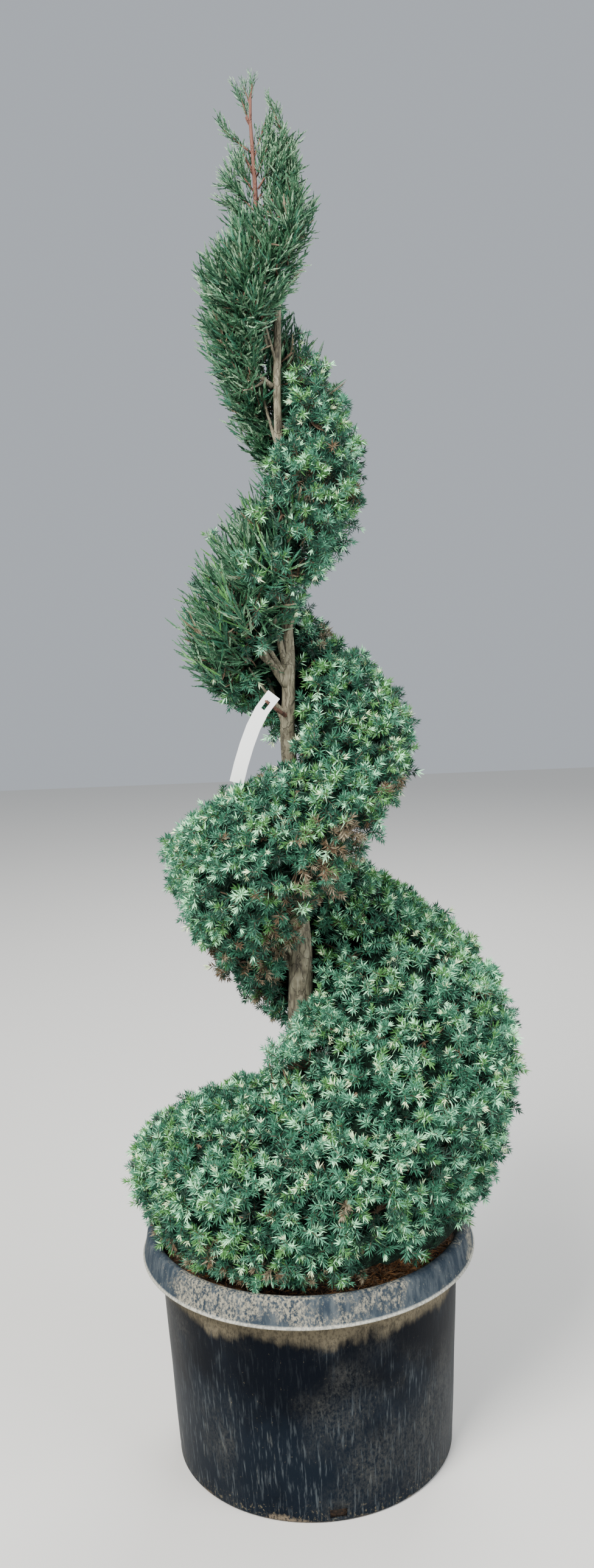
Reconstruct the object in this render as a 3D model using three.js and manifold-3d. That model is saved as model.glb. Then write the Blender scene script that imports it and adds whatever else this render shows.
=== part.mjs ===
// Spiral topiary: a blue juniper clipped to a rising ribbon round one trunk, in its nursery pot.
// Millimetres, +Z up. The origin is the middle of the pot's flat underside.
// The photograph looks along +Y, so turn 180 is its left, 270 its front, 360 its right and 450 its back.

import * as THREE from "three";
import { mergeVertices } from "three/addons/utils/BufferGeometryUtils.js";
import Module from "manifold-3d";

const wasm = await Module();
wasm.setup();

const DEGREE = Math.PI / 180;
const GAP = 0.3;
const APART = 0.003;

// Pot: straight tapered wall, rolled rim band with a skirt and a thin flange
const POT_SIDES = 48;
const BASE_RADIUS = 253;
const WALL_TOP_RADIUS = 269;
const WALL = 5;
const BASE_THICKNESS = 6;
const SKIRT_LOW = 386;
const FLANGE_RADIUS = 301;
const BAND_TOP_RADIUS = 291;
const BAND_TOP = 428;
const RIM_TOP = 437;
const MOUTH_RADIUS = 271;
const NOTCH_WIDTH = 28;
const NOTCH_HEIGHT = 25;
const NOTCH_COUNT = 4;
const NOTCH_TURN = 277.7;

// Potting mix
const SOIL_LEVEL = 400;
const SOIL_EDGE_LEVEL = 393;
const SOIL_PAD_RADIUS = 70;

// Trunk stations: height, sideways place, depth, radius
const TRUNK = [
  [SOIL_LEVEL, 0, 0, 47],
  [420, 0, 0, 38],
  [455, 0, 1, 32],
  [560, 1, 2, 28],
  [700, 2, 2, 25],
  [838, 3, 1, 22.5],
  [895, 5, 0, 21.5],
  [961, 6, -1, 20],
  [1090, 4, 1, 17],
  [1220, 1, 2, 14],
  [1329, 0, 0, 12],
  [1433, 6, -1, 11],
  [1600, 6, 1, 9.2],
  [1760, 5, 1, 7.8],
  [1894, 5, 0, 6.6],
  [2028, 12, 0, 5.4],
  [2062, -4, 1, 5],
  [2142, -16, 0, 4.2],
  [2226, -17, -1, 3.5],
  [2308, -20, 0, 2.6],
  [2350, -18, 0, 1.9],
];
const TRUNK_SIDES = 10;

// Ribbon sizes each quarter turn from the back of the lowest turn up to the leader:
// low edge at the trunk, height of the widest part, top edge at the trunk, reach there, reach of the low edge
const FIRST_TURN = 90;
const QUARTERS = [
  [441, 510, 668, 292, 262],
  [441, 565, 745, 320, 276],
  [441, 635, 800, 342, 278],
  [452, 775, 1050, 396, 262],
  [700, 950, 1190, 340, 60],
  [818, 1125, 1268, 230, 30],
  [950, 1175, 1322, 226, 26],
  [1130, 1320, 1492, 226, 24],
  [1260, 1405, 1612, 205, 22],
  [1350, 1490, 1735, 184, 20],
  [1458, 1640, 1838, 165, 18],
  [1575, 1770, 1990, 155, 16],
  [1700, 1900, 2104, 143, 16],
  [1800, 2060, 2200, 130, 14],
  [1950, 2110, 2215, 105, 12],
  [2070, 2175, 2318, 84, 12],
  [2150, 2235, 2340, 58, 10],
];

// Masses of foliage: turns at which the ribbon parts, wider apart as it gets slimmer
const PARTINGS = [
  60, 120, 180, 240, 300, 360, 420, 495, 570, 645, 720, 795, 885, 975, 1065, 1155, 1260, 1365, 1470,
];
const LOWEST_MASSES = 6;
const FIRST_FEATHERY = 15;
const SEED = 20417;
const LIFT = 14;
const SLACK = 11;
const DENSE_SPACING = 7100;
const FEATHERY_SPACING = 4300;

// Upright plumes that stand out of the last two masses of the ribbon; the first is the second leader
const LEADER_PLUMES = [
  { mass: 18, path: [[30, -6, 2215], [44, -8, 2262], [30, -6, 2296], [17, -4, 2322]], sprays: 8 },
  { mass: 18, path: [[22, -12, 2190], [10, -14, 2236], [4, -9, 2286]], sprays: 6 },
  { mass: 18, path: [[34, 2, 2205], [30, 10, 2250], [15, 8, 2290]], sprays: 6 },
  { mass: 17, path: [[-34, -8, 2160], [-42, -9, 2190], [-50, -8, 2216]], sprays: 5 },
];

// Plumes beside and on top of the leader: the limb that carries each, then the path of its stem
const PLUMES = [
  { limb: [[-17, 0, 2232], [-32, -2, 2256]], path: [[-46, -3, 2276], [-60, -3, 2300]], sprays: 7 },
  { limb: [[-20, 0, 2302], [-27, 3, 2316]], path: [[-33, 4, 2332], [-36, 3, 2352]], sprays: 6 },
  { limb: [], path: [[-17, 0, 2356], [-15, 0, 2366]], sprays: 4 },
];
const PLUME_SPRAY = 24;
const LEADER_SPRAY = 30;

// Tag of plain white sheet, hung by its slot on a spur of the trunk: middle line seen from the front
const TAG_LINE = [
  [-20, 1399],
  [-31, 1386],
  [-41.5, 1373],
  [-57, 1345],
  [-69, 1316],
  [-80, 1284],
  [-89, 1253],
];
const TAG_DEPTH = -64;
const TAG_WIDTH = 24;
const TAG_THICKNESS = 0.8;
const SLOT = { above: 2.9, below: 14, half: 3.4 };
const SPUR_START = 1352;
const SPUR_RADII = [4.5, 2];

// Colours
const COLOURS = {
  pot: "#24282c",
  soil: "#4a3424",
  bark: "#6d5a4a",
  bough: "#6a4f3c",
  needles: "#3f6f63",
  fineNeedles: "#2f5a44",
  tag: "#e9eaec",
};

// Steady run of chance values
function chance(seed) {
  let state = seed;
  return () => {
    state = (state + 0x6d2b79f5) | 0;
    let mixed = Math.imul(state ^ (state >>> 15), 1 | state);
    mixed = (mixed + Math.imul(mixed ^ (mixed >>> 7), 61 | mixed)) ^ mixed;
    return ((mixed ^ (mixed >>> 14)) >>> 0) / 4294967296;
  };
}

// Smooth curve through the rows at a place counted in rows
function through(rows, place, column) {
  const index = Math.min(Math.max(Math.floor(place), 0), rows.length - 2);
  const part = place - index;
  const at = (k) => rows[Math.min(Math.max(k, 0), rows.length - 1)][column];
  const [a, b, c, d] = [at(index - 1), at(index), at(index + 1), at(index + 2)];
  const bend = part * (2 * a - 5 * b + 4 * c - d + part * (3 * (b - c) + d - a));
  return b + 0.5 * part * (c - a + bend);
}

function ribbon(turn) {
  const place = (turn - FIRST_TURN) / 90;
  const [low, crest, high, reach, foot] = [0, 1, 2, 3, 4].map((column) => through(QUARTERS, place, column));
  return { low, crest, high, reach, foot: Math.max(foot, 8) };
}

// Skin of the clipped ribbon: tilt +90 is the top edge at the trunk, 0 the crest and -90 the low edge
function skin(turn, tilt, inset) {
  const { low, crest, high, reach, foot } = ribbon(turn);
  const inner = tilt > 0 ? 14 : foot;
  const rise = tilt > 0 ? high - crest - inset : crest - low - inset * (foot > 200 ? 0.2 : 1);
  const radius = inner + Math.max(reach - inner - inset, 0) * Math.cos(tilt * DEGREE) ** 1.5;
  return [radius, crest + rise * Math.sin(tilt * DEGREE)];
}

function polar(turn, radius, height) {
  return new THREE.Vector3(radius * Math.cos(turn * DEGREE), radius * Math.sin(turn * DEGREE), height);
}

function vector([x, y, z]) {
  return new THREE.Vector3(x, y, z);
}

function trunkAt(height) {
  const row = TRUNK.findIndex((station) => station[0] > height);
  const upper = row < 0 ? TRUNK.length - 1 : Math.max(row, 1);
  const [a, b] = [TRUNK[upper - 1], TRUNK[upper]];
  const part = THREE.MathUtils.clamp((height - a[0]) / (b[0] - a[0]), 0, 1);
  const mix = a.map((value, column) => THREE.MathUtils.lerp(value, b[column], part));
  return { centre: new THREE.Vector3(mix[1], mix[2], height), radius: mix[3] };
}

// Closed solid from corner points and faces
function solid(points, faces) {
  const vertProperties = new Float32Array(points.flatMap((point) => [point.x, point.y, point.z]));
  const triVerts = new Uint32Array(faces.flat());
  return new wasm.Manifold(new wasm.Mesh({ numProp: 3, vertProperties, triVerts }));
}

// Closed solid from a three.js geometry, with its shared corners joined and flat faces dropped
function solidOf(geometry) {
  const bare = geometry.clone();
  bare.deleteAttribute("normal");
  bare.deleteAttribute("uv");
  const joined = mergeVertices(bare, 1e-3);
  const position = joined.attributes.position;
  const points = [];
  for (let i = 0; i < position.count; i += 1) {
    points.push(new THREE.Vector3().fromBufferAttribute(position, i));
  }
  const faces = [];
  for (let i = 0; i < joined.index.count; i += 3) {
    const face = [joined.index.getX(i), joined.index.getX(i + 1), joined.index.getX(i + 2)];
    if (new Set(face).size === 3) {
      faces.push(face);
    }
  }
  return solid(points, faces);
}

function turned(profile) {
  const points = profile.map(([radius, height]) => new THREE.Vector2(radius, height));
  const geometry = new THREE.LatheGeometry(points, POT_SIDES);
  geometry.rotateX(Math.PI / 2);
  return solidOf(geometry);
}

// Tapering limb with flat ends through the centres
function limb(centres, radii, sides) {
  const points = [];
  const faces = [];
  const side = new THREE.Vector3();
  centres.forEach((centre, ring) => {
    const before = centres[Math.max(ring - 1, 0)];
    const after = centres[Math.min(ring + 1, centres.length - 1)];
    const along = after.clone().sub(before).normalize();
    if (ring === 0) {
      side.set(0, 0, 1).cross(along);
      if (side.length() < 0.2) {
        side.set(1, 0, 0);
      }
    }
    side.addScaledVector(along, -side.dot(along)).normalize();
    const across = along.clone().cross(side);
    for (let k = 0; k < sides; k += 1) {
      const angle = (2 * Math.PI * k) / sides;
      const point = centre.clone().addScaledVector(side, radii[ring] * Math.cos(angle));
      points.push(point.addScaledVector(across, radii[ring] * Math.sin(angle)));
    }
  });
  const ringCount = centres.length;
  for (let ring = 0; ring < ringCount - 1; ring += 1) {
    for (let k = 0; k < sides; k += 1) {
      const [a, b] = [ring * sides + k, ring * sides + ((k + 1) % sides)];
      faces.push([a, b, b + sides], [a, b + sides, a + sides]);
    }
  }
  const last = (ringCount - 1) * sides;
  for (let k = 1; k < sides - 1; k += 1) {
    faces.push([0, k + 1, k], [last, last + k, last + k + 1]);
  }
  return solid(points, faces);
}

// Spray of needles: a toothed blade, thickest in its middle, from its root along a direction
function spray(root, along, across, length, width, teeth) {
  const face = along.clone().cross(across).normalize();
  const place = (u, v, w) =>
    root.clone().addScaledVector(along, u).addScaledVector(across, v).addScaledVector(face, w);
  const half = [];
  for (let k = 0; k < teeth; k += 1) {
    const start = 0.22 + (0.62 * k) / teeth;
    const spread = width * (0.5 - (0.26 * k) / teeth);
    half.push([(start + 0.4 / teeth) * length, spread], [(start + 0.36 / teeth) * length, spread * 0.3]);
  }
  const outline = [[0, -0.14 * width]];
  half.forEach(([u, v]) => outline.push([u, -v]));
  outline.push([length, 0]);
  half.reverse().forEach(([u, v]) => outline.push([u, v]));
  outline.push([0, 0.14 * width]);
  const count = outline.length;
  const points = outline.map(([u, v]) => place(u, v, 0));
  points.push(place(0.42 * length, 0, 0.09 * width), place(0.42 * length, 0, -0.09 * width));
  const faces = [];
  for (let k = 0; k < count; k += 1) {
    const next = (k + 1) % count;
    faces.push([k, next, count], [next, k, count + 1]);
  }
  return { points, faces };
}

// Steps from one turn to the next parting
function partingTurns(index) {
  const [start, end] = [PARTINGS[index], PARTINGS[index + 1]];
  const steps = Math.ceil((end - start) / 15);
  return Array.from({ length: steps + 1 }, (_, k) => start + ((end - start) * k) / steps);
}

// Space of one mass: between its two parting planes, inside the ribbon's skin and clear of the limbs.
// Sprays may rise above the skin's upper side by the lift.
function inSpace(point, index, limbs, slack) {
  const [start, end] = [PARTINGS[index], PARTINGS[index + 1]];
  const fromStart = point.y * Math.cos(start * DEGREE) - point.x * Math.sin(start * DEGREE);
  const fromEnd = point.x * Math.sin(end * DEGREE) - point.y * Math.cos(end * DEGREE);
  if (fromStart < GAP || fromEnd < GAP) {
    return false;
  }
  const middle = (start + end) / 2;
  const bearing = Math.atan2(point.y, point.x) / DEGREE;
  const turn = bearing + 360 * Math.round((middle - bearing) / 360);
  const { low, crest, high } = ribbon(turn);
  if (point.z < low + 1 || point.z > high + LIFT / 2) {
    return false;
  }
  const above = Math.max(point.z - crest - LIFT, 0) / (high - crest);
  const share = point.z > crest ? above : (point.z - crest) / (crest - low);
  const [radius] = skin(turn, Math.asin(THREE.MathUtils.clamp(share, -1, 1)) / DEGREE, 0);
  if (Math.hypot(point.x, point.y) > radius + slack) {
    return false;
  }
  return limbs.every(({ from, to, radius: thick }) => {
    const line = new THREE.Line3(from, to);
    return line.closestPointToPoint(point, true, new THREE.Vector3()).distanceTo(point) > thick + 2.5;
  });
}

// Core of a clipped mass: the ribbon's section lofted between two partings, open towards the trunk
function core(index, inset, lowTilt, random) {
  const turns = partingTurns(index);
  const tilts = [82, 62, 42, 22, 4, -14, -32, lowTilt];
  const ringSize = tilts.length + 1;
  const points = [];
  turns.forEach((turn, step) => {
    const plane = step === 0 ? 1 : step === turns.length - 1 ? -1 : 0;
    const clear = polar(turn + 90, 0.5 * GAP * plane, 0);
    const outer = tilts.map((tilt) => skin(turn, tilt, inset));
    const [top, bottom] = [outer[0], outer[outer.length - 1]];
    const inner = [0.42 * bottom[0] + 0.5 * top[0], 0.5 * (bottom[1] + top[1])];
    outer.forEach(([radius, height], k) => {
      const bump = k === 0 || k === tilts.length - 1 ? 0 : (random() - 0.5) * inset * 0.7;
      points.push(polar(turn, radius + bump, height).add(clear));
    });
    points.push(polar(turn, inner[0], inner[1]).add(clear));
  });
  const faces = [];
  for (let step = 0; step < turns.length - 1; step += 1) {
    for (let k = 0; k < ringSize; k += 1) {
      const [a, b] = [step * ringSize + k, step * ringSize + ((k + 1) % ringSize)];
      faces.push([a, b, b + ringSize], [a, b + ringSize, a + ringSize]);
    }
  }
  const last = (turns.length - 1) * ringSize;
  for (let k = 0; k < ringSize - 2; k += 1) {
    faces.push([ringSize - 1, k + 1, k], [last + ringSize - 1, last + k, last + k + 1]);
  }
  return solid(points, faces);
}

// One bough: leaves the trunk low in its mass's space and ends before the core
function boughLine(index) {
  const middle = (PARTINGS[index] + PARTINGS[index + 1]) / 2;
  const { low, crest, high, reach } = ribbon(middle);
  const start = trunkAt(low + 0.22 * (crest - low));
  const end = polar(middle, reach * (index >= FIRST_FEATHERY ? 0.34 : 0.3), crest - 0.18 * (crest - low));
  end.z += 0.02 * (high - crest);
  const bend = start.centre.clone().lerp(end, 0.5);
  bend.z -= 0.08 * (end.z - start.centre.z);
  return { middle, points: [start.centre, bend, end], thick: Math.max(0.42 * start.radius, 2) };
}

// Stem with sprays set to both sides of it, all leaning on towards its tip
function plume(path, thick, sprays, length, random) {
  const parts = [limb(path, path.map((_, k) => thick * (1 - (0.7 * k) / (path.length - 1))), 5)];
  const curve = new THREE.CatmullRomCurve3(path);
  for (let k = 0; k < sprays; k += 1) {
    const share = (k + 0.9) / (sprays + 0.4);
    const root = curve.getPointAt(Math.min(share, 1));
    const onward = curve.getTangentAt(Math.min(share, 1));
    const heading = 2.4 * k + random();
    const sideways = new THREE.Vector3(Math.cos(heading), 0.6 * Math.sin(heading), 0.3);
    const along = onward.clone().addScaledVector(sideways, k === sprays - 1 ? 0.1 : 0.65).normalize();
    const across = new THREE.Vector3(0.2, 1, 0.1).cross(along).normalize();
    const reach = length * (0.8 + 0.4 * random());
    const { points, faces } = spray(root, along, across, reach, 0.34 * reach, 2);
    parts.push(solid(points, faces));
  }
  return parts;
}

// Sprays that stand out of a core's skin, spread evenly over it by two steady steps round a unit square.
// Each has a few tries, and is left out where all of them would leave the mass's space.
function skinSprays(index, inset, limbs, random) {
  const feathery = index >= FIRST_FEATHERY;
  const [lowTilt, highTilt] = index < LOWEST_MASSES ? [-76, 76] : [-56, 78];
  const [startTurn, endTurn] = [PARTINGS[index], PARTINGS[index + 1]];
  const { low, high, reach } = ribbon((startTurn + endTurn) / 2);
  const area = reach * (endTurn - startTurn) * DEGREE * (high - low) * 0.9;
  const wanted = Math.round(area / (feathery ? FEATHERY_SPACING : DENSE_SPACING));
  const parts = [];
  for (let k = 0; k < wanted; k += 1) {
    for (let tries = 0; tries < 14; tries += 1) {
      const [sideways, upward] = [0.7549, 0.5698].map((step) => (k * step + 0.1 * random()) % 1);
      const turn = THREE.MathUtils.lerp(startTurn, endTurn, 0.03 + 0.94 * sideways);
      const tilt = THREE.MathUtils.lerp(lowTilt, highTilt, upward);
      const [radius, height] = skin(turn, tilt, inset);
      const [nextRadius, nextHeight] = skin(turn, tilt + 4, inset);
      const out = polar(turn, nextHeight - height, radius - nextRadius).normalize();
      const lean = new THREE.Vector3(random() - 0.5, random() - 0.5, feathery ? 0.9 : random() - 0.3);
      const along = out.addScaledVector(lean, feathery ? 0.9 : 0.6).normalize();
      const chanceWay = new THREE.Vector3(random() - 0.5, random() - 0.5, random() - 0.5);
      const across = chanceWay.cross(along).normalize();
      const length = feathery ? 44 + 18 * random() : 34 + 12 * random();
      const root = polar(turn, radius, height).addScaledVector(along, feathery ? -14 : -12);
      const { points, faces } = spray(root, along, across, length, feathery ? 15 : 27, feathery ? 2 : 1);
      if (points.every((point) => inSpace(point, index, limbs, SLACK))) {
        parts.push(solid(points, faces));
        break;
      }
    }
  }
  return parts;
}

// True where no two separate corners of a solid fall together
function cornersApart(piece) {
  const { vertProperties } = piece.getMesh();
  const corners = [];
  for (let i = 0; i < vertProperties.length; i += 3) {
    corners.push([vertProperties[i], vertProperties[i + 1], vertProperties[i + 2]]);
  }
  corners.sort((a, b) => a[0] - b[0]);
  return corners.every((corner, i) => {
    for (let j = i + 1; j < corners.length && corners[j][0] - corner[0] < APART; j += 1) {
      if (Math.abs(corners[j][1] - corner[1]) < APART && Math.abs(corners[j][2] - corner[2]) < APART) {
        return false;
      }
    }
    return true;
  });
}

// One closed body from parts: joined, cut clear of the limbs' room, its largest piece kept
function joined(parts, rooms) {
  const cleared = rooms.reduce((piece, room) => piece.subtract(room), wasm.Manifold.union(parts));
  return cleared.simplify(0.05).decompose().sort((a, b) => b.volume() - a.volume())[0];
}

// Grows a piece with one run of chance values after another until its corners lie apart
function grown(firstSeed, grow) {
  for (let seed = firstSeed; seed < firstSeed + 40; seed += 1) {
    const piece = grow(chance(seed));
    if (cornersApart(piece)) {
      return piece;
    }
  }
  throw new Error("no run of chance values gave a clean solid");
}

const group = new THREE.Group();

function add(name, piece, colour, roughness) {
  const { vertProperties, triVerts } = piece.getMesh();
  const geometry = new THREE.BufferGeometry();
  geometry.setAttribute("position", new THREE.BufferAttribute(new Float32Array(vertProperties), 3));
  geometry.setIndex(new THREE.BufferAttribute(new Uint32Array(triVerts), 1));
  geometry.computeVertexNormals();
  const material = new THREE.MeshStandardMaterial({ color: colour, roughness, metalness: 0 });
  const mesh = new THREE.Mesh(geometry, material);
  mesh.name = name;
  group.add(mesh);
}

// Pot
const inside = (height) => THREE.MathUtils.lerp(BASE_RADIUS, WALL_TOP_RADIUS, height / SKIRT_LOW) - WALL;
let pot = turned([
  [0, 0],
  [BASE_RADIUS - 3, 0],
  [BASE_RADIUS, 4],
  [WALL_TOP_RADIUS, SKIRT_LOW - 3],
  [WALL_TOP_RADIUS + 4, SKIRT_LOW + 36],
  [BAND_TOP_RADIUS - 5, SKIRT_LOW + 36],
  [FLANGE_RADIUS - 9, SKIRT_LOW],
  [FLANGE_RADIUS, SKIRT_LOW],
  [FLANGE_RADIUS, SKIRT_LOW + 4],
  [FLANGE_RADIUS - 4, SKIRT_LOW + 7],
  [BAND_TOP_RADIUS, BAND_TOP],
  [BAND_TOP_RADIUS - 3.5, RIM_TOP - 2.5],
  [BAND_TOP_RADIUS - 9, RIM_TOP],
  [MOUTH_RADIUS + 4, RIM_TOP - 2],
  [MOUTH_RADIUS, RIM_TOP - 8],
  [inside(SKIRT_LOW), SKIRT_LOW],
  [inside(BASE_THICKNESS), BASE_THICKNESS],
  [0, BASE_THICKNESS],
]);
for (let k = 0; k < NOTCH_COUNT; k += 1) {
  const notch = new THREE.BoxGeometry(40, NOTCH_WIDTH, NOTCH_HEIGHT - BASE_THICKNESS);
  notch.translate(BASE_RADIUS, 0, (NOTCH_HEIGHT + BASE_THICKNESS) / 2);
  notch.rotateZ((NOTCH_TURN + (360 * k) / NOTCH_COUNT) * DEGREE);
  pot = pot.subtract(solidOf(notch));
}
add("pot", pot, COLOURS.pot, 0.55);

// Potting mix with a flat pad under the trunk's foot
const mixTop = SOIL_LEVEL - GAP;
const pottingMix = turned([
  [0, BASE_THICKNESS + GAP],
  [inside(BASE_THICKNESS) - GAP, BASE_THICKNESS + GAP],
  [inside(SKIRT_LOW) - GAP - 0.2, SKIRT_LOW],
  [inside(SKIRT_LOW) - 4, SOIL_EDGE_LEVEL],
  [170, mixTop - 2],
  [SOIL_PAD_RADIUS, mixTop],
  [0, mixTop],
]);
add("potting_mix", pottingMix, COLOURS.soil, 0.95);

// Trunk, whole from its root flare into the leader
const trunkCentres = TRUNK.map(([height, x, y]) => new THREE.Vector3(x, y, height));
const trunkLimb = (extra) => limb(trunkCentres, TRUNK.map((station) => station[3] + extra), TRUNK_SIDES);
add("trunk", trunkLimb(0), COLOURS.bark, 0.85);
const trunkRoom = trunkLimb(GAP);
const trunkLimbs = trunkCentres.slice(1).map((to, k) => ({ from: trunkCentres[k], to, radius: TRUNK[k][3] }));

// Boughs, one to each mass of the ribbon
const lines = PARTINGS.slice(1).map((_, index) => boughLine(index));
const boughLimbs = lines.flatMap(({ points, thick }) => [
  { from: points[0], to: points[1], radius: thick },
  { from: points[1], to: points[2], radius: thick * 0.8 },
]);
const tagHole = new THREE.Vector3(TAG_LINE[1][0], TAG_DEPTH, TAG_LINE[1][1]);
const spurStart = trunkAt(SPUR_START).centre;
const spurEnd = tagHole.clone().addScaledVector(tagHole.clone().sub(spurStart).normalize(), 9);
const tagEnds = [TAG_LINE[0], TAG_LINE[TAG_LINE.length - 1]].map(([x, z]) => vector([x, TAG_DEPTH, z]));
const limbs = [
  ...trunkLimbs,
  ...boughLimbs,
  { from: spurStart, to: spurEnd, radius: SPUR_RADII[0] },
  { from: tagEnds[0], to: tagEnds[1], radius: 18 },
];

// Room for a bough in its mass: a little thicker and longer all round
function boughRoom([start, bend, end], radii) {
  const further = end.clone().addScaledVector(end.clone().sub(bend).normalize(), GAP);
  return limb([start, bend, further], radii.map((radius) => radius + GAP), 6);
}

lines.forEach(({ middle, points, thick }, index) => {
  const number = String(index + 1).padStart(2, "0");
  const radii = [thick, thick * 0.8, thick * 0.6];
  add(`bough_${number}`, joined([limb(points, radii, 6)], [trunkRoom]), COLOURS.bough, 0.85);

  const feathery = index >= FIRST_FEATHERY;
  const { crest, high, reach } = ribbon(middle);
  const inset = feathery ? Math.min(26, reach * 0.26) : Math.min(20, reach * 0.11);
  const stemEnd = polar(middle, reach * 0.72, crest + 0.1 * (high - crest));
  const mass = grown(SEED + 100 * index, (random) => {
    const parts = [limb([points[2], stemEnd], [thick * 0.55, thick * 0.35], 5)];
    parts.push(core(index, inset, index < LOWEST_MASSES ? -78 : -58, random));
    parts.push(...skinSprays(index, inset, limbs, random));
    LEADER_PLUMES.filter((row) => row.mass === index + 1).forEach((row) => {
      parts.push(...plume(row.path.map(vector), 2, row.sprays, LEADER_SPRAY, random));
    });
    return joined(parts, [trunkRoom, boughRoom(points, radii)]);
  });
  add(`mass_${number}`, mass, feathery ? COLOURS.fineNeedles : COLOURS.needles, 0.8);
});

// Plumes beside and on top of the leader
PLUMES.forEach((row, k) => {
  const number = lines.length + 1 + k;
  const rooms = [trunkRoom];
  let root = new THREE.Vector3(-18, 0, 2350 + GAP);
  if (row.limb.length > 0) {
    const [start, end] = row.limb.map(vector);
    const bend = start.clone().lerp(end, 0.5);
    add(`bough_${number}`, joined([limb([start, bend, end], [1.8, 1.6, 1.4], 6)], [trunkRoom]), COLOURS.bough, 0.85);
    rooms.push(boughRoom([start, bend, end], [1.8, 1.6, 1.4]));
    root = end;
  }
  const path = [root, ...row.path.map(vector)];
  const tuft = grown(SEED + 100 * number, (random) => joined(plume(path, 1.3, row.sprays, PLUME_SPRAY, random), rooms));
  add(`mass_${number}`, tuft, COLOURS.fineNeedles, 0.8);
});

// Spur of the trunk through the tag's slot, and the tag hanging down from it
add("tag_spur", joined([limb([spurStart, spurEnd], SPUR_RADII, 8)], [trunkRoom]), COLOURS.bough, 0.85);

const tagPoints = TAG_LINE.map(([x, z]) => new THREE.Vector2(x, z));
const tagWay = (k) => {
  const [before, after] = [tagPoints[Math.max(k - 1, 0)], tagPoints[Math.min(k + 1, tagPoints.length - 1)]];
  return after.clone().sub(before).normalize();
};
const tagSide = (k, side) => {
  const way = tagWay(k);
  return tagPoints[k].clone().add(new THREE.Vector2(-way.y, way.x).multiplyScalar((side * TAG_WIDTH) / 2));
};
const tagShape = new THREE.Shape([
  ...tagPoints.map((_, k) => tagSide(k, 1)),
  ...tagPoints.map((_, k) => tagSide(tagPoints.length - 1 - k, -1)),
]);
const [way, hole] = [tagWay(1), tagPoints[1]];
const slotCorner = (along, side) =>
  hole.clone().addScaledVector(way, along).add(new THREE.Vector2(-way.y, way.x).multiplyScalar(side));
tagShape.holes.push(
  new THREE.Path([
    slotCorner(-SLOT.above, -SLOT.half),
    slotCorner(SLOT.below, -SLOT.half),
    slotCorner(SLOT.below, SLOT.half),
    slotCorner(-SLOT.above, SLOT.half),
  ]),
);
const tag = new THREE.ExtrudeGeometry(tagShape, { depth: TAG_THICKNESS, bevelEnabled: false });
tag.rotateX(Math.PI / 2);
tag.translate(0, TAG_DEPTH + TAG_THICKNESS / 2, 0);
add("tag", solidOf(tag), COLOURS.tag, 0.5);

export default group;
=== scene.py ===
# %% [markdown]
# # A spiral topiary in its nursery pot
#
# The plant is a blue juniper clipped to a ribbon that climbs round one bare trunk. We load the packed
# solids first, because every size and place comes from them.

# %% Load the solids
import bpy
import numpy as np
from mathutils import Matrix, Vector


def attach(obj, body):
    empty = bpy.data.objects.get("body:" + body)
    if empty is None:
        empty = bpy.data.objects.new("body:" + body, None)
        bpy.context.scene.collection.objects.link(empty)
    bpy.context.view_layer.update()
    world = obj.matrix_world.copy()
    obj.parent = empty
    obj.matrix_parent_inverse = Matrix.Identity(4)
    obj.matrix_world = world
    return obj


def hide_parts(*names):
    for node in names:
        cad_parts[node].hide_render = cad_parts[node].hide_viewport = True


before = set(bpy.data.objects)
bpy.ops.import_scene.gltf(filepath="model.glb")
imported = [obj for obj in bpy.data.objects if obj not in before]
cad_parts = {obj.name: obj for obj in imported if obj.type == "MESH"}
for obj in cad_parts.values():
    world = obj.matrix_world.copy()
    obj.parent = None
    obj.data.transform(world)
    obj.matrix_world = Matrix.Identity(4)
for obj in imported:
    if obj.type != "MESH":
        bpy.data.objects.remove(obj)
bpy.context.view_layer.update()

SEED = 20417
names = set(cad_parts)

# %% [markdown]
# ## Camera
#
# The camera stands at about eye height and looks a little down at the pot, with the whole plant in one
# tall frame. A long lens would flatten the pot's rim, so the distance and the downward tilt are the ones
# that give its ellipses their roundness. The slight lean of the picture is a roll of the camera.

# %% Camera at the photograph's angle
PITCH, ROLL = 0.1793, -0.040
EYE = (0.0122, -2.4636, 1.6815)
FOCAL_PIXELS, PICTURE_PIXELS = 2387.5, 2576.0
SENSOR = 36.0
camera_data = bpy.data.cameras.new("view_camera")
camera_data.sensor_fit = "AUTO"
camera_data.sensor_width = SENSOR
camera_data.lens = SENSOR * FOCAL_PIXELS / PICTURE_PIXELS
camera_data.dof.use_dof = False
camera = bpy.data.objects.new("view_camera", camera_data)
bpy.context.scene.collection.objects.link(camera)
forward = Vector((0.0, np.cos(PITCH), -np.sin(PITCH)))
level = Vector((1.0, 0.0, 0.0))
upward = level.cross(forward)
right = np.cos(ROLL) * level + np.sin(ROLL) * upward
top = -np.sin(ROLL) * level + np.cos(ROLL) * upward
turning = Matrix((right, top, -forward)).transposed().to_4x4()
camera.matrix_world = Matrix.Translation(EYE) @ turning
bpy.context.scene.camera = camera
print("camera lens", round(camera_data.lens, 2))
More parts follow.
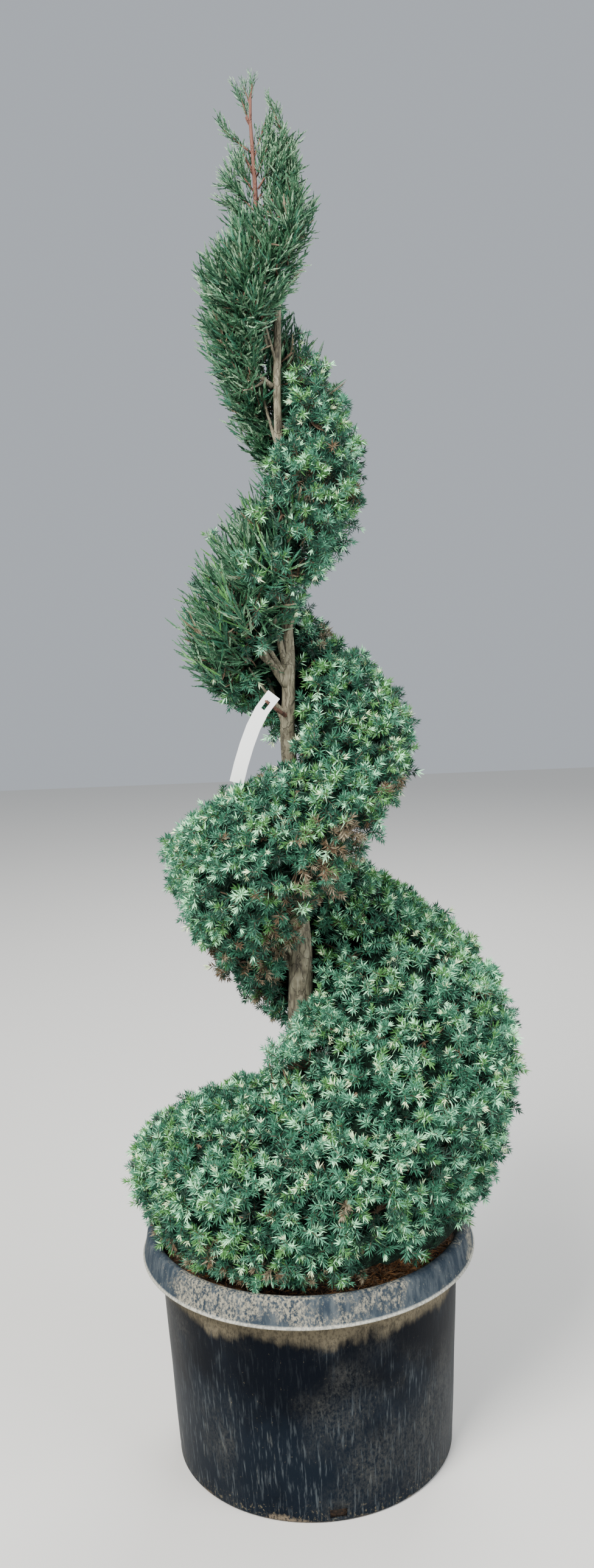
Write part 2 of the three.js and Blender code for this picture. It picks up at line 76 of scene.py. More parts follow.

# %% [markdown]
# ## Meshes from arrays
#
# Every new piece is worked out as whole arrays of points, so one helper turns points and faces into a
# mesh that rides on the plant's one body and takes the finish it is given in a material slot.


# %% Mesh helper
def piece(name, points, faces, material, smooth=False, replaces=()):
    """A mesh object from an (n, 3) array of points in metres and a list of (m, k) arrays of faces."""
    loops = np.concatenate([np.asarray(block).ravel() for block in faces])
    sizes = np.concatenate([np.full(len(block), np.asarray(block).shape[1]) for block in faces])
    starts = np.concatenate([[0], np.cumsum(sizes)[:-1]])
    mesh = bpy.data.meshes.new(name)
    mesh.vertices.add(len(points))
    mesh.vertices.foreach_set("co", np.asarray(points, dtype=np.float32).ravel())
    mesh.loops.add(len(loops))
    mesh.loops.foreach_set("vertex_index", loops.astype(np.int32))
    mesh.polygons.add(len(sizes))
    mesh.polygons.foreach_set("loop_start", starts.astype(np.int32))
    mesh.polygons.foreach_set("loop_total", sizes.astype(np.int32))
    mesh.polygons.foreach_set("use_smooth", np.full(len(sizes), smooth))
    mesh.update(calc_edges=True)
    mesh.validate()
    obj = bpy.data.objects.new(name, mesh)
    bpy.context.scene.collection.objects.link(obj)
    obj.data.materials.append(material)
    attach(obj, "root")
    if replaces:
        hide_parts(*replaces)
    print(name, "points", len(points), "triangles", int((sizes - 2).sum()))
    return obj


# %% Faces of grids and fans
def grid_faces(rows, columns):
    """Four-cornered faces of a grid of rows by columns that is joined round its columns."""
    row, column = np.meshgrid(np.arange(rows - 1), np.arange(columns), indexing="ij")
    here = row * columns + column
    following = row * columns + (column + 1) % columns
    return np.stack([here, following, following + columns, here + columns], -1).reshape(-1, 4)


def closed_faces(rows, columns):
    """The faces of a grid with a lid over its first row and one over its last."""
    around = np.arange(columns)[None]
    return [grid_faces(rows, columns), around[:, ::-1], (rows - 1) * columns + around]


def fan(first, columns, hub, turned=False):
    """Triangles from a ring that starts at point first to a hub in its middle, turned over on request."""
    here = np.arange(columns)
    following = (here + 1) % columns
    edge = [first + following, first + here] if turned else [first + here, first + following]
    return np.stack([*edge, np.full(columns, hub)], 1)


def kite_faces(count):
    """Two triangles for each kite of four points: root, left and right corners and tip."""
    first = np.arange(count)[:, None] * 4
    return [first + [0, 1, 2], first + [0, 2, 3]]


print("faces of a closed grid of 3 rings by 8", sum(len(block) for block in closed_faces(3, 8)))


# %% Smooth relief
SINES = 4


def waves(points, scales, seed):
    """Smooth relief between about -1 and 1: a sum of sine waves in chance directions over the points."""
    rng = np.random.default_rng(seed)
    total = np.zeros(points.shape[:-1])
    for scale in scales:
        for _ in range(SINES):
            way = rng.normal(size=3)
            way *= 2 * np.pi / (scale * np.linalg.norm(way))
            total += np.sin(points @ way + rng.uniform(0, 2 * np.pi))
    return total / (1.4 * np.sqrt(SINES * len(scales)))


print("relief at the middle", waves(np.zeros(3), [0.1], 1).round(2))


# %% [markdown]
# ## Shader arithmetic
#
# A finish is a small formula, such as "dust where the wall is high and the noise is strong". One class
# wraps a socket, so such a formula can be written with plus and times, and adds the nodes for it.


# %% Shader class
class Tone:
    """A number, colour or vector that comes out of a node, with arithmetic on it."""

    def __init__(self, tree, socket):
        self.tree = tree
        self.socket = socket

    def math(self, operation, other, swap=False):
        """The Math node for an operation with a number or another tone, whose order swap turns round."""
        node = self.tree.nodes.new("ShaderNodeMath")
        node.operation = operation
        for place, value in zip(node.inputs, [other, self] if swap else [self, other]):
            if isinstance(value, Tone):
                self.tree.links.new(value.socket, place)
            else:
                place.default_value = value
        return Tone(self.tree, node.outputs[0])

    def __add__(self, other):
        return self.math("ADD", other)

    __radd__ = __add__

    def __mul__(self, other):
        return self.math("MULTIPLY", other)

    __rmul__ = __mul__

    def __sub__(self, other):
        return self.math("SUBTRACT", other)

    def __rsub__(self, other):
        return self.math("SUBTRACT", other, swap=True)


# %% Finish class
class Finish:
    """A material with one principled shader, whose fixed values sit on the shader's own sockets."""

    def __init__(self, name, colour=(0.5, 0.5, 0.5), roughness=0.6, **fixed):
        self.material = bpy.data.materials.new(name)
        self.material.use_nodes = True
        self.tree = self.material.node_tree
        self.shader = self.tree.nodes["Principled BSDF"]
        self.shader.inputs["Base Color"].default_value = (*colour, 1.0)
        self.shader.inputs["Roughness"].default_value = roughness
        for socket, value in fixed.items():
            self.shader.inputs[socket.replace("_", " ")].default_value = value

    def node(self, kind, settings=None, output=0, **inputs):
        """Any node: its type, its settings, then values or links for its sockets by name or number."""
        node = self.tree.nodes.new(kind)
        for key, value in (settings or {}).items():
            if key == "stops":
                ramp = node.color_ramp
                while len(ramp.elements) < len(value):
                    ramp.elements.new(0.5)
                for element, (place, colour) in zip(ramp.elements, value):
                    element.position = place
                    element.color = (*colour, 1.0)
            else:
                setattr(node, key, value)
        for key, value in inputs.items():
            socket = node.inputs[int(key[1:]) if key[1:].isdigit() else key.replace("_", " ")]
            if isinstance(value, Tone):
                self.tree.links.new(value.socket, socket)
            else:
                socket.default_value = value
        return Tone(self.tree, node.outputs[output])

    def place(self):
        """Where a point lies on the object, in metres."""
        return self.node("ShaderNodeTexCoord", output=3)

    def stretched(self, upright):
        """The place with its height scaled, so that a pattern on it runs up and down."""
        return self.node("ShaderNodeMapping", Vector=self.place(), Scale=(1.0, 1.0, upright))

    def split(self, vector, axis):
        """One of a vector's three parts."""
        return self.node("ShaderNodeSeparateXYZ", output=axis, Vector=vector)

    def noise(self, vector, scale, detail=3.0, roughness=0.55):
        """Soft noise over a vector, its patches about 1 / scale across."""
        values = {"Vector": vector, "Scale": scale, "Detail": detail, "Roughness": roughness}
        return self.node("ShaderNodeTexNoise", **values)

    def ramp(self, factor, stops):
        """Colours by a factor: each stop is a place between 0 and 1 and the colour there."""
        return self.node("ShaderNodeValToRGB", {"stops": stops}, Fac=factor)

    def span(self, value, low, high):
        """0 at low and before it, 1 at high and past it, and smooth between. Low may be the larger one."""
        settings = {"interpolation_type": "SMOOTHSTEP", "clamp": True}
        return self.node("ShaderNodeMapRange", settings, Value=value, From_Min=low, From_Max=high)

    def blend(self, factor, first, second):
        """Colour first where the factor is 0, second where it is 1. Fixed colours get an alpha of 1."""
        a, b = (tone if isinstance(tone, Tone) else (*tone, 1.0) for tone in (first, second))
        return self.node("ShaderNodeMix", {"data_type": "RGBA"}, output=2, i0=factor, i6=a, i7=b)

    def link(self, socket, tone):
        """Lets a tone feed one of the shader's sockets."""
        self.tree.links.new(tone.socket, self.shader.inputs[socket])

    def bump(self, height, strength, distance):
        """Relief from a height between 0 and 1 that stands for a distance in metres."""
        normal = self.node("ShaderNodeBump", Height=height, Strength=strength, Distance=distance)
        self.tree.links.new(normal.socket, self.shader.inputs["Normal"])


# %% [markdown]
# ## Bark
#
# Juniper bark is grey-brown and sheds in upright strips, pale on their ridges and dark in the furrows.
# Noise that is stretched along the trunk gives the strips, the edges of warped cells give the cracks
# between its plates, and both also raise a bump.


# %% Bark finish
LEADER_HEIGHTS = (2.06, 2.17)


def bark_finish(name, furrow, middle, ridge, plates):
    """Strips of stretched noise in three tones, darkened along the edges of warped cells. Between the two
    leader heights it turns red-brown."""
    finish = Finish(name, roughness=0.85)
    strips = finish.noise(finish.stretched(0.2), 170.0, 4.0, 0.6)
    patches = finish.noise(finish.place(), 40.0, 4.0, 0.6)
    shift = finish.noise(finish.place(), 60.0) * 0.02
    warped = finish.node("ShaderNodeVectorMath", {"operation": "ADD"}, i0=finish.stretched(0.25), i1=shift)
    edges = {"feature": "DISTANCE_TO_EDGE"}
    edge = finish.node("ShaderNodeTexVoronoi", edges, Vector=warped, Scale=plates)
    crack = 0.45 + 0.55 * finish.span(edge, 0.0, 0.09)
    tone = finish.ramp(strips * 0.6 + patches * 0.4, [(0.36, furrow), (0.5, middle), (0.64, ridge)])
    plated = finish.blend(crack, furrow, tone)
    leader = finish.span(finish.split(finish.place(), 2), *LEADER_HEIGHTS)
    reddish = finish.blend(patches, (0.070, 0.026, 0.019), (0.215, 0.092, 0.064))
    finish.link("Base Color", finish.blend(leader, plated, reddish))
    finish.bump(crack * 0.7 + strips * 0.5 + patches * 0.4, 0.8, 0.004)
    return finish.material


bark = bark_finish("bark", (0.045, 0.037, 0.026), (0.165, 0.148, 0.098), (0.300, 0.278, 0.195), 75.0)
young_bark = bark_finish("young_bark", (0.05, 0.022, 0.015), (0.17, 0.075, 0.05), (0.27, 0.15, 0.11), 150.0)
twig_bark = Finish("twig_bark", (0.12, 0.075, 0.045), 0.8).material
print("bark finishes ready")

# %% [markdown]
# ## The ribbon's formula
#
# The clipped shape is a ribbon that climbs as a right-handed screw. Each quarter turn has five sizes:
# its low edge, its widest height, its top edge, its reach there and the reach of its low edge. A smooth
# curve runs through them, and the skin at any turn is a rounded wedge between the two edges. The solids
# are made by the same rule, so the needles end where the solids do.

# %% Ribbon sizes and skin
FIRST_TURN, QUARTER = 90.0, 90.0
MILLIMETRES = 1000.0
# One row for each quarter turn from the first, in millimetres.
QUARTERS = [
    [441, 510, 668, 292, 262],
    [441, 565, 745, 320, 276],
    [441, 635, 800, 342, 278],
    [452, 775, 1050, 396, 262],
    [700, 950, 1190, 340, 60],
    [818, 1125, 1268, 230, 30],
    [950, 1175, 1322, 226, 26],
    [1130, 1320, 1492, 226, 24],
    [1260, 1405, 1612, 205, 22],
    [1350, 1490, 1735, 184, 20],
    [1458, 1640, 1838, 165, 18],
    [1575, 1770, 1990, 155, 16],
    [1700, 1900, 2104, 143, 16],
    [1800, 2060, 2200, 130, 14],
    [1950, 2110, 2215, 105, 12],
    [2070, 2175, 2318, 84, 12],
    [2150, 2235, 2340, 58, 10],
]
QUARTERS = np.array(QUARTERS) / MILLIMETRES
# Turns where one mass of foliage ends and the next begins.
PARTINGS = [*range(60, 420, 60), *range(420, 795, 75), *range(795, 1155, 90), *range(1155, 1471, 105)]
STEM_RADIUS, LEAST_FOOT = 0.014, 0.008
ON_THE_MIX, MIX_SHARE = 0.2, 0.2
ROUNDING = 1.5


def through(rows, place):
    """Smooth curve through the rows at places counted in rows: each stretch leans as its neighbours do."""
    index = np.clip(np.floor(place).astype(int), 0, len(rows) - 2)
    part = (place - index)[..., None]
    a, b, c, d = (rows[np.clip(index + k, 0, len(rows) - 1)] for k in (-1, 0, 1, 2))
    return b + 0.5 * part * (c - a + part * (2 * a - 5 * b + 4 * c - d + part * (3 * (b - c) + d - a)))


def ribbon(turn):
    """The five sizes at a turn in degrees: low edge, crest, high edge, reach and the low edge's reach."""
    low, crest, high, reach, foot = np.moveaxis(through(QUARTERS, (turn - FIRST_TURN) / QUARTER), -1, 0)
    return low, crest, high, reach, np.maximum(foot, LEAST_FOOT)


def skin(turn, tilt, inset=0.0):
    """Radius and height on the ribbon: the crest plus the rise times the tilt's sine, and the reach times
    a power of its cosine, so the wedge is rounded at its crest and thin at the trunk. Where the low edge
    rests on the potting mix, an inset lifts it only by a share."""
    low, crest, high, reach, foot = ribbon(turn)
    tilt = np.radians(tilt)
    inner = np.where(tilt > 0, STEM_RADIUS, foot)
    under = np.where(foot > ON_THE_MIX, MIX_SHARE, 1.0)
    rise = np.where(tilt > 0, high - crest - inset, crest - low - inset * under)
    radius = inner + np.maximum(reach - inner - inset, 0.0) * np.cos(tilt) ** ROUNDING
    return radius, crest + rise * np.sin(tilt)


def polar(turn, radius, height):
    """Points at a turn in degrees, a radius and a height."""
    angle = np.radians(turn)
    return np.stack([radius * np.cos(angle), radius * np.sin(angle), height + 0 * radius], -1)


def unit(vectors):
    """Vectors of length one along the same ways."""
    return vectors / np.maximum(np.linalg.norm(vectors, axis=-1, keepdims=True), 1e-9)


print("ribbon climbs from", QUARTERS[0, 0], "to", QUARTERS[-1, 2])

# %% [markdown]
# ## Trunk
#
# One trunk goes all the way up: a flared foot on the potting mix, a stout bare stem in the grooves of the
# spiral and a thin red-brown leader. It is one tube whose radius is the taper plus ridges that run up it,
# because bark plates on a juniper follow the grain.

# %% Trunk surface
# Height, x, y and radius in millimetres, from the foot to the tip.
TRUNK = [
    [400, 0, 0, 47],
    [420, 0, 0, 38],
    [455, 0, 1, 32],
    [560, 1, 2, 28],
    [700, 2, 2, 25],
    [838, 3, 1, 22.5],
    [895, 5, 0, 21.5],
    [961, 6, -1, 20],
    [1090, 4, 1, 17],
    [1220, 1, 2, 14],
    [1329, 0, 0, 12],
    [1433, 6, -1, 11],
    [1600, 6, 1, 9.2],
    [1760, 5, 1, 7.8],
    [1894, 5, 0, 6.6],
    [2028, 12, 0, 5.4],
    [2062, -4, 1, 5],
    [2142, -16, 0, 4.2],
    [2226, -17, -1, 3.5],
    [2308, -20, 0, 2.6],
    [2350, -18, 0, 1.9],
]
TRUNK = np.array(TRUNK) / MILLIMETRES


def trunk_at(height):
    """Centre and radius of the trunk at each height."""
    columns = [np.interp(height, TRUNK[:, 0], TRUNK[:, column]) for column in (1, 2, 3)]
    return np.stack([columns[0], columns[1], height], -1), columns[2]


def trunk_surface(heights, sides):
    """Ring of points at each height: the taper's radius times one plus ridges round and along it."""
    centre, radius = trunk_at(heights)
    angle = 2 * np.pi * np.arange(sides) / sides
    ring = np.stack([np.cos(angle), np.sin(angle), 0 * angle], -1)
    points = centre[:, None, :] + radius[:, None, None] * ring
    twisted = points * np.array([1.0, 1.0, 0.16])
    ridges = waves(twisted, [0.011, 0.018], 3) * 0.055 + waves(points, [0.12], 4) * 0.03
    lobes = 0.10 * np.cos(5 * angle + 0.6) * np.exp(-(heights[:, None] - 0.4) / 0.05)
    scale = 1.0 + np.minimum(ridges, 0.09) + lobes
    return centre[:, None, :] + (points - centre[:, None, :]) * scale[..., None]


TRUNK_SIDES = 48
heights = np.concatenate([np.linspace(0.4, 1.5, 330), np.linspace(1.505, 2.35, 150)])
trunk_points = trunk_surface(heights, TRUNK_SIDES).reshape(-1, 3)
trunk_faces = closed_faces(len(heights), TRUNK_SIDES)
piece("trunk_bark", trunk_points, trunk_faces, bark, True, ("trunk",))

# %% [markdown]
# ## Many tubes at once
#
# Boughs, branches and twigs are all tapering tubes along a path. Thousands of them are worked out in one
# go: each path gets a ring of points at every step, and its two ends are closed with a small lid.


# %% Tubes along paths
def tubes(paths, radii, sides, relief=0.0):
    """Points and faces of n tubes: rings round n paths of r steps, at right angles to each path's way."""
    count, steps = paths.shape[:2]
    way = unit(np.gradient(paths, axis=1))
    side = unit(np.cross(way, aid_for(way)))
    across = np.cross(way, side)
    angle = 2 * np.pi * np.arange(sides) / sides
    ring = np.cos(angle)[:, None] * side[:, :, None, :] + np.sin(angle)[:, None] * across[:, :, None, :]
    axis = paths[:, :, None, :]
    spokes = radii[:, :, None, None] * ring
    if relief:
        spokes = spokes * (1 + relief * waves(axis + spokes, [0.009, 0.02], 5)[..., None])
    start = (np.arange(count) * steps * sides)[:, None, None]
    walls = (grid_faces(steps, sides)[None] + start).reshape(-1, 4)
    first = np.arange(sides)[None, ::-1] + start[:, 0]
    last = (steps - 1) * sides + np.arange(sides)[None, :] + start[:, 0]
    return (axis + spokes).reshape(-1, 3), [walls, np.concatenate([first, last])]


def aid_for(ways):
    """A direction that isn't along the way: upright, or +X where the way itself is nearly upright."""
    return np.where(np.abs(ways[..., 2:3]) > 0.9, np.array([1.0, 0.0, 0.0]), np.array([0.0, 0.0, 1.0]))


def arcs(start, middle, end, steps):
    """Paths that leave start, lean towards middle and arrive at end: the points blended by squares."""
    t = np.linspace(0, 1, steps)[None, :, None]
    return (1 - t) ** 2 * start[:, None] + 2 * t * (1 - t) * middle[:, None] + t**2 * end[:, None]


def limbs(name, start, middle, end, radii, sides, relief, material, replaces=()):
    """A piece of many bent limbs: tubes along arcs, with a row of radii for each limb."""
    points, faces = tubes(arcs(start, middle, end, radii.shape[1]), radii, sides, relief)
    piece(name, points, faces, material, True, replaces)


# %% [markdown]
# ## Boughs
#
# One bough carries each part of the ribbon. It leaves the trunk low under its foliage, as pruned branches
# do, and rises outwards. The spur with the tag and the two thin limbs of the leader are made with them.

# %% Boughs
MASSES, FEATHERY_MASSES = len(PARTINGS) - 1, 3
STEPS, THIN_STEPS = 12, 8
starts, ends = np.array(PARTINGS[:-1], float), np.array(PARTINGS[1:], float)
middles = (starts + ends) / 2
low, crest, high, reach, _ = ribbon(middles)
leave, leave_radius = trunk_at(low + 0.22 * (crest - low))
part_way = np.where(np.arange(MASSES) >= MASSES - FEATHERY_MASSES, 0.34, 0.30)
arrive = polar(middles, reach * part_way, crest - 0.18 * (crest - low))
arrive[:, 2] += 0.02 * (high - crest)
elbow = (leave + arrive) / 2
elbow[:, 2] -= 0.08 * (arrive[:, 2] - leave[:, 2])
thick = np.maximum(0.42 * leave_radius, 0.002)
taper = np.linspace(1.0, 0.6, STEPS)
taper[0] *= 1.25
bough_names = tuple(sorted(name for name in names if name.startswith("bough_")))
limbs("boughs", leave, elbow, arrive, np.outer(thick, taper), 12, 0.05, bark, bough_names)

# %% Spur of the tag and thin limbs of the leader
SPUR = np.array([[0.002, 0.0, 1.352], [-0.034, -0.0708, 1.3894]])
LIMBS = np.array([[[-17, 0, 2232], [-32, -2, 2256]], [[-20, 0, 2302], [-27, 3, 2316]]]) / MILLIMETRES
THIN_RADII = np.array([[0.0045, 0.002], [0.0018, 0.0014], [0.0018, 0.0014]])
thin_start = np.concatenate([SPUR[None, 0], LIMBS[:, 0]])
thin_end = np.concatenate([SPUR[None, 1], LIMBS[:, 1]])
thin_middle = (thin_start + thin_end) / 2 - np.array([0.0, 0.0, 0.003])
first_radius, last_radius = THIN_RADII[:, :1], THIN_RADII[:, 1:]
thin_taper = first_radius + (last_radius - first_radius) * np.linspace(0, 1, THIN_STEPS)[None]
limbs("thin_limbs", thin_start, thin_middle, thin_end, thin_taper, 8, 0.06, young_bark, ("tag_spur",))

# %% [markdown]
# ## Needles
#
# Each shoot tip is a small star of awl-shaped needles. A needle is a kite of two triangles folded along
# its middle: wide a third of the way up and sharp at its end. Loose shoots are bent cords of short scale
# leaves instead. A spray is a short twig with such stars or cords on it, and a few different sprays,
# turned and scaled, make the whole crown.


# %% Needles and shoots
BODY, TIP, WOOD, LIGHT = range(4)
LIGHT_SHARE, TIP_FROM = 0.27, 0.72
GOLDEN_ANGLE, GOLDEN_SHARE = 2.39996, 0.6180339887
UPRIGHT = np.array([0.0, 0.0, 1.0])


def kites(roots, ways, lengths, widths, rng):
    """Folded kites: root, left and right corners a third of the way along, and the tip."""
    chance_way = rng.normal(size=ways.shape)
    side = unit(np.cross(ways, chance_way))
    fold = np.cross(ways, side) * widths[:, None] * 0.22
    waist = roots + ways * (0.36 * lengths)[:, None]
    half = side * (0.5 * widths)[:, None]
    return np.stack([roots, waist + half + fold, roots + ways * lengths[:, None], waist - half + fold], 1)


def shoot(root, way, length, needles, needle, spread, cord, rng):
    """Needles round one shoot by the golden angle: wide open at its foot, closing towards its tip. A shoot
    of scale leaves bends up by the square of the share and has crossed kites as wide as the cord inside."""
    side = unit(np.cross(way, [0.31, 0.52, 0.79]))
    across = np.cross(way, side)
    rise = UPRIGHT - way * way[2]
    bend = (0.38 * rise + rng.normal(0, 0.08, 3)) * (cord > 0)

    def along(share):
        """Points at a share of the shoot's length."""
        share = np.asarray(share)[..., None]
        return root + length * (way * share + bend * share**2)

    share = (np.arange(needles) + 0.5) / needles
    heading = np.arange(needles) * GOLDEN_ANGLE + rng.uniform(0, 6.28)
    out = np.cos(heading)[:, None] * side + np.sin(heading)[:, None] * across
    opening = np.radians(spread[0] + (spread[1] - spread[0]) * share**1.3 + rng.normal(0, 7, needles))
    grain = unit(way + 2 * bend * share[:, None])
    ways = np.cos(opening)[:, None] * grain + np.sin(opening)[:, None] * out
    lengths = needle[0] * (1.0 - 0.3 * share) * rng.uniform(0.8, 1.15, needles)
    widths = np.full(needles, needle[1]) * rng.uniform(0.85, 1.15, needles)
    shapes = [kites(along(0.12 + 0.88 * share), ways, lengths, widths, rng)]
    body = np.where(rng.uniform(size=needles) < LIGHT_SHARE, LIGHT, BODY)
    parts = [np.where(share > TIP_FROM, TIP, body)]
    if cord:
        start, end = along([0.0, 0.0, 0.45, 0.45]), along([0.62, 0.62, 1.06, 1.06])
        size = np.linalg.norm(end - start, axis=1)
        shapes.append(kites(start, unit(end - start), size, np.full(4, cord), rng))
        parts.append(np.array([BODY, BODY, TIP, TIP]))
    stem = np.stack([root - across * 0.0008, root + side * 0.001, along(1.0), root - side * 0.001])
    return np.concatenate([*shapes, stem[None]]), np.concatenate([*parts, [WOOD]])


# %% Sprays
def spray(rng, length, first, stars, needles, needle, spread, lean, shoot_length, cord=0.0):
    """A twig along +Z: side shoots by the golden angle from the share first on, and one at its end."""
    shapes, parts = [], []
    for k in range(stars):
        last = k == stars - 1
        share = first + (1 - first) * k / max(stars - 1, 1)
        heading = k * GOLDEN_ANGLE + rng.uniform(-0.4, 0.4)
        angle = 0.0 if last else np.radians(lean + rng.normal(0, 8))
        out = np.array([np.cos(heading), np.sin(heading), 0.0])
        way = np.cos(angle) * UPRIGHT + np.sin(angle) * out
        size = shoot_length * (1.0 if last else rng.uniform(0.75, 1.2) * (1.3 - 0.5 * share))
        root = np.array([0.0, 0.0, length * share - (size if last else 0.0)])
        shape, part = shoot(root, way, size, needles, needle, spread, cord, rng)
        shapes.append(shape)
        parts.append(part)
    return np.concatenate(shapes), np.concatenate(parts), np.repeat(np.arange(stars), len(shapes[0]))


FINE_LENGTH = 0.076
rng = np.random.default_rng(SEED)
# Each kind: how many differ, then the spray's length, first share, stars, needles in a star, a needle's
# length and width, its opening at the foot and the tip, the shoots' lean and length, and the cord's width.
STAR_SPRAYS, LONG_SPRAYS, FINE_SPRAYS = (
    [spray(rng, *sizes) for _ in range(kinds)]
    for kinds, *sizes in (
        (9, 0.052, 0.5, 5, 21, (0.0158, 0.0025), (78, 20), 56, 0.021),
        (6, 0.100, 0.15, 11, 9, (0.0064, 0.0020), (26, 10), 34, 0.044, 0.0035),
        (7, FINE_LENGTH, 0.12, 10, 8, (0.0070, 0.0023), (24, 10), 36, 0.034, 0.0040),
    )
)
print("kites in a star spray", len(STAR_SPRAYS[0][0]), "and in a fine one", len(FINE_SPRAYS[0][0]))


# %% [markdown]
# ## Where the sprays go
#
# The clipped skin is covered evenly: the sprays are dealt over it by area, with the golden ratio keeping
# neighbours apart. Each points out of the skin and a little up, and its tip ends at the clipped line.


# %% Spreading over the skin
def spread_over(count, turns, tilts, weight):
    """Turn and tilt of count places dealt evenly by area times weight, stepping by the golden ratio."""
    turn = np.linspace(*turns, 400)
    tilt = np.linspace(*tilts, 60)
    grid_turn, grid_tilt = np.meshgrid(turn, tilt, indexing="ij")
    points = polar(grid_turn, *skin(grid_turn, grid_tilt))
    area = np.linalg.norm(np.cross(np.gradient(points, axis=0), np.gradient(points, axis=1)), axis=-1)
    share = area * weight(grid_turn, grid_tilt)
    along = np.cumsum(share.sum(1))
    place = (np.arange(count) + 0.5) / count
    row = np.searchsorted(along / along[-1], place).clip(0, len(turn) - 1)
    within = np.cumsum(share[row], axis=1)
    within /= within[:, -1:]
    second = (np.arange(count) * GOLDEN_SHARE + 0.37) % 1.0
    column = (within < second[:, None]).sum(1).clip(0, len(tilt) - 1)
    turn_jitter = rng.uniform(-0.5, 0.5, count) * (turn[1] - turn[0]) * 2
    tilt_jitter = rng.uniform(-0.5, 0.5, count) * (tilt[1] - tilt[0])
    return turn[row] + turn_jitter, tilt[column] + tilt_jitter


def outward(turn, tilt):
    """Way straight out of the skin: at right angles to its two directions, turned away from the trunk."""
    here = polar(turn, *skin(turn, tilt))
    along = polar(turn + 1.0, *skin(turn + 1.0, tilt)) - here
    up = polar(turn, *skin(turn, tilt + 1.0)) - here
    normal = unit(np.cross(along, up))
    out = polar(turn, 1.0 + 0 * turn, 0.0)
    return normal * np.sign((normal * out).sum(-1, keepdims=True) + 1e-6)


def dealt(turns, tilts, depth, jitter, lift):
    """Ends of sprays on the skin less a depth, and their ways: out, up by lift and a little by chance."""
    out = outward(turns, tilts)
    ways = unit(out + lift * UPRIGHT + rng.normal(0, jitter, out.shape))
    return polar(turns, *skin(turns, tilts)) - out * depth[:, None], ways


print("way out of the skin at the front", outward(np.array([270.0]), np.array([0.0])).round(2))

# %% Placing and keeping sprays
STARS_AT_MOST = 16
crown, twig_ends = [], []


def placed(templates, tips_at, ways, sizes):
    """Sprays with their ends at tips_at along ways: every template turned, scaled and moved as arrays."""
    count = len(tips_at)
    which = rng.integers(0, len(templates), count)
    roll = rng.uniform(0, 2 * np.pi, count)
    side = unit(np.cross(ways, aid_for(ways)))
    across = np.cross(ways, side)
    x = np.cos(roll)[:, None] * side + np.sin(roll)[:, None] * across
    y = np.cross(ways, x)
    frames = np.stack([x, y, ways], 1) * sizes[:, None, None]
    shapes, parts, owners, stars = [], [], [], []
    for k, (shape, part, star) in enumerate(templates):
        mine = np.nonzero(which == k)[0]
        length = shape[..., 2].max()
        local = shape - length * UPRIGHT
        world = np.einsum("kvc,ncd->nkvd", local, frames[mine]) + tips_at[mine][:, None, None, :]
        shapes.append(world.reshape(-1, 4, 3))
        parts.append(np.tile(part, len(mine)))
        owners.append(np.repeat(mine, len(part)))
        stars.append(np.tile(star, len(mine)))
    return [np.concatenate(block) for block in (shapes, parts, owners, stars)]


def keep(templates, tips_at, ways, sizes, turns, shares, bright, bright_kinds):
    """Adds sprays to the crown and remembers their feet, unless no turns are given. A spray has a main kind
    of needle, half of its stars are dealt again, and some have bright tips. The first star of a clipped
    spray lies deep, so it is often painted dark as painted shade. The stems of scale leaves are green like
    the leaves."""
    shapes, parts, owners, stars = placed(templates, tips_at, ways, sizes)
    star_numbers, star = np.unique(owners * STARS_AT_MOST + stars, return_inverse=True)
    owner, number = np.divmod(star_numbers, STARS_AT_MOST)
    main = kinds_by_place(shares)[owner]
    kind = np.where(rng.uniform(size=len(owner)) < 0.5, kinds_by_place(shares[owner]), main)
    if templates is STAR_SPRAYS:
        # Painted shade: the deepest star of a clipped spray often gets dark deep needles.
        first_star_painted_shade = (number == 0) & (rng.uniform(size=len(owner)) < 0.6)
        kind = np.where(first_star_painted_shade, KINDS.index("deep"), kind)
    lit = rng.uniform(size=len(owner)) < bright[owner]
    tip = np.where(lit, rng.choice([KINDS.index(name) for name in bright_kinds], len(owner)), kind)
    kind, tip = kind[star], tip[star]
    wood = np.full(len(parts), KINDS.index("twig")) if templates is STAR_SPRAYS else kind
    crown.append((shapes, np.choose(parts, [kind, tip, wood, LIGHTER[kind]])))
    if turns is not None:
        length = templates[0][0][..., 2].max()
        twig_ends.append((tips_at - ways * (sizes * length * 0.8)[:, None], ways, turns))


# %% [markdown]
# ## Colours of the needles
#
# Real junipers are not one green: blooming blue-green shoots, deeper ones in their shade, cream growing
# tips, and dead brown needles under the ribbon. Each is a plain colour, dealt to whole sprays or to the
# stars' ends, because a picture baked on a million tiny needles would only blur. Some needles of a star
# are one step paler than the rest, which is where the light catches them.

# %% Needle colours
COLOURS = {
    "blue": (0.088, 0.278, 0.172),
    "teal": (0.036, 0.158, 0.092),
    "deep": (0.010, 0.060, 0.036),
    "green": (0.092, 0.262, 0.072),
    "pale": (0.500, 0.980, 0.600),
    "cream": (0.820, 1.000, 0.600),
    "brown": (0.120, 0.076, 0.040),
    "dead": (0.235, 0.195, 0.125),
    "shadow": (0.006, 0.030, 0.018),
    "fine": (0.046, 0.146, 0.070),
    "fine_dark": (0.018, 0.074, 0.038),
    "fine_tip": (0.230, 0.375, 0.230),
    "twig": (0.110, 0.070, 0.043),
}
PALER = {
    "teal": "blue",
    "deep": "teal",
    "brown": "dead",
    "dead": "brown",
    "shadow": "deep",
    "fine": "fine_tip",
    "fine_dark": "fine",
}
KINDS = list(COLOURS)
LIGHTER = np.array([KINDS.index(PALER.get(kind, "pale")) for kind in KINDS])
needle_finish = {kind: Finish("needles_" + kind, tone, 0.55).material for kind, tone in COLOURS.items()}


def shares_of(count, **chances):
    """Rows of chances for the kinds of needle, in the order of their names; those not named get none."""
    return np.stack([np.broadcast_to(chances.get(kind, 0.0), count) for kind in KINDS], 1).clip(0, None)


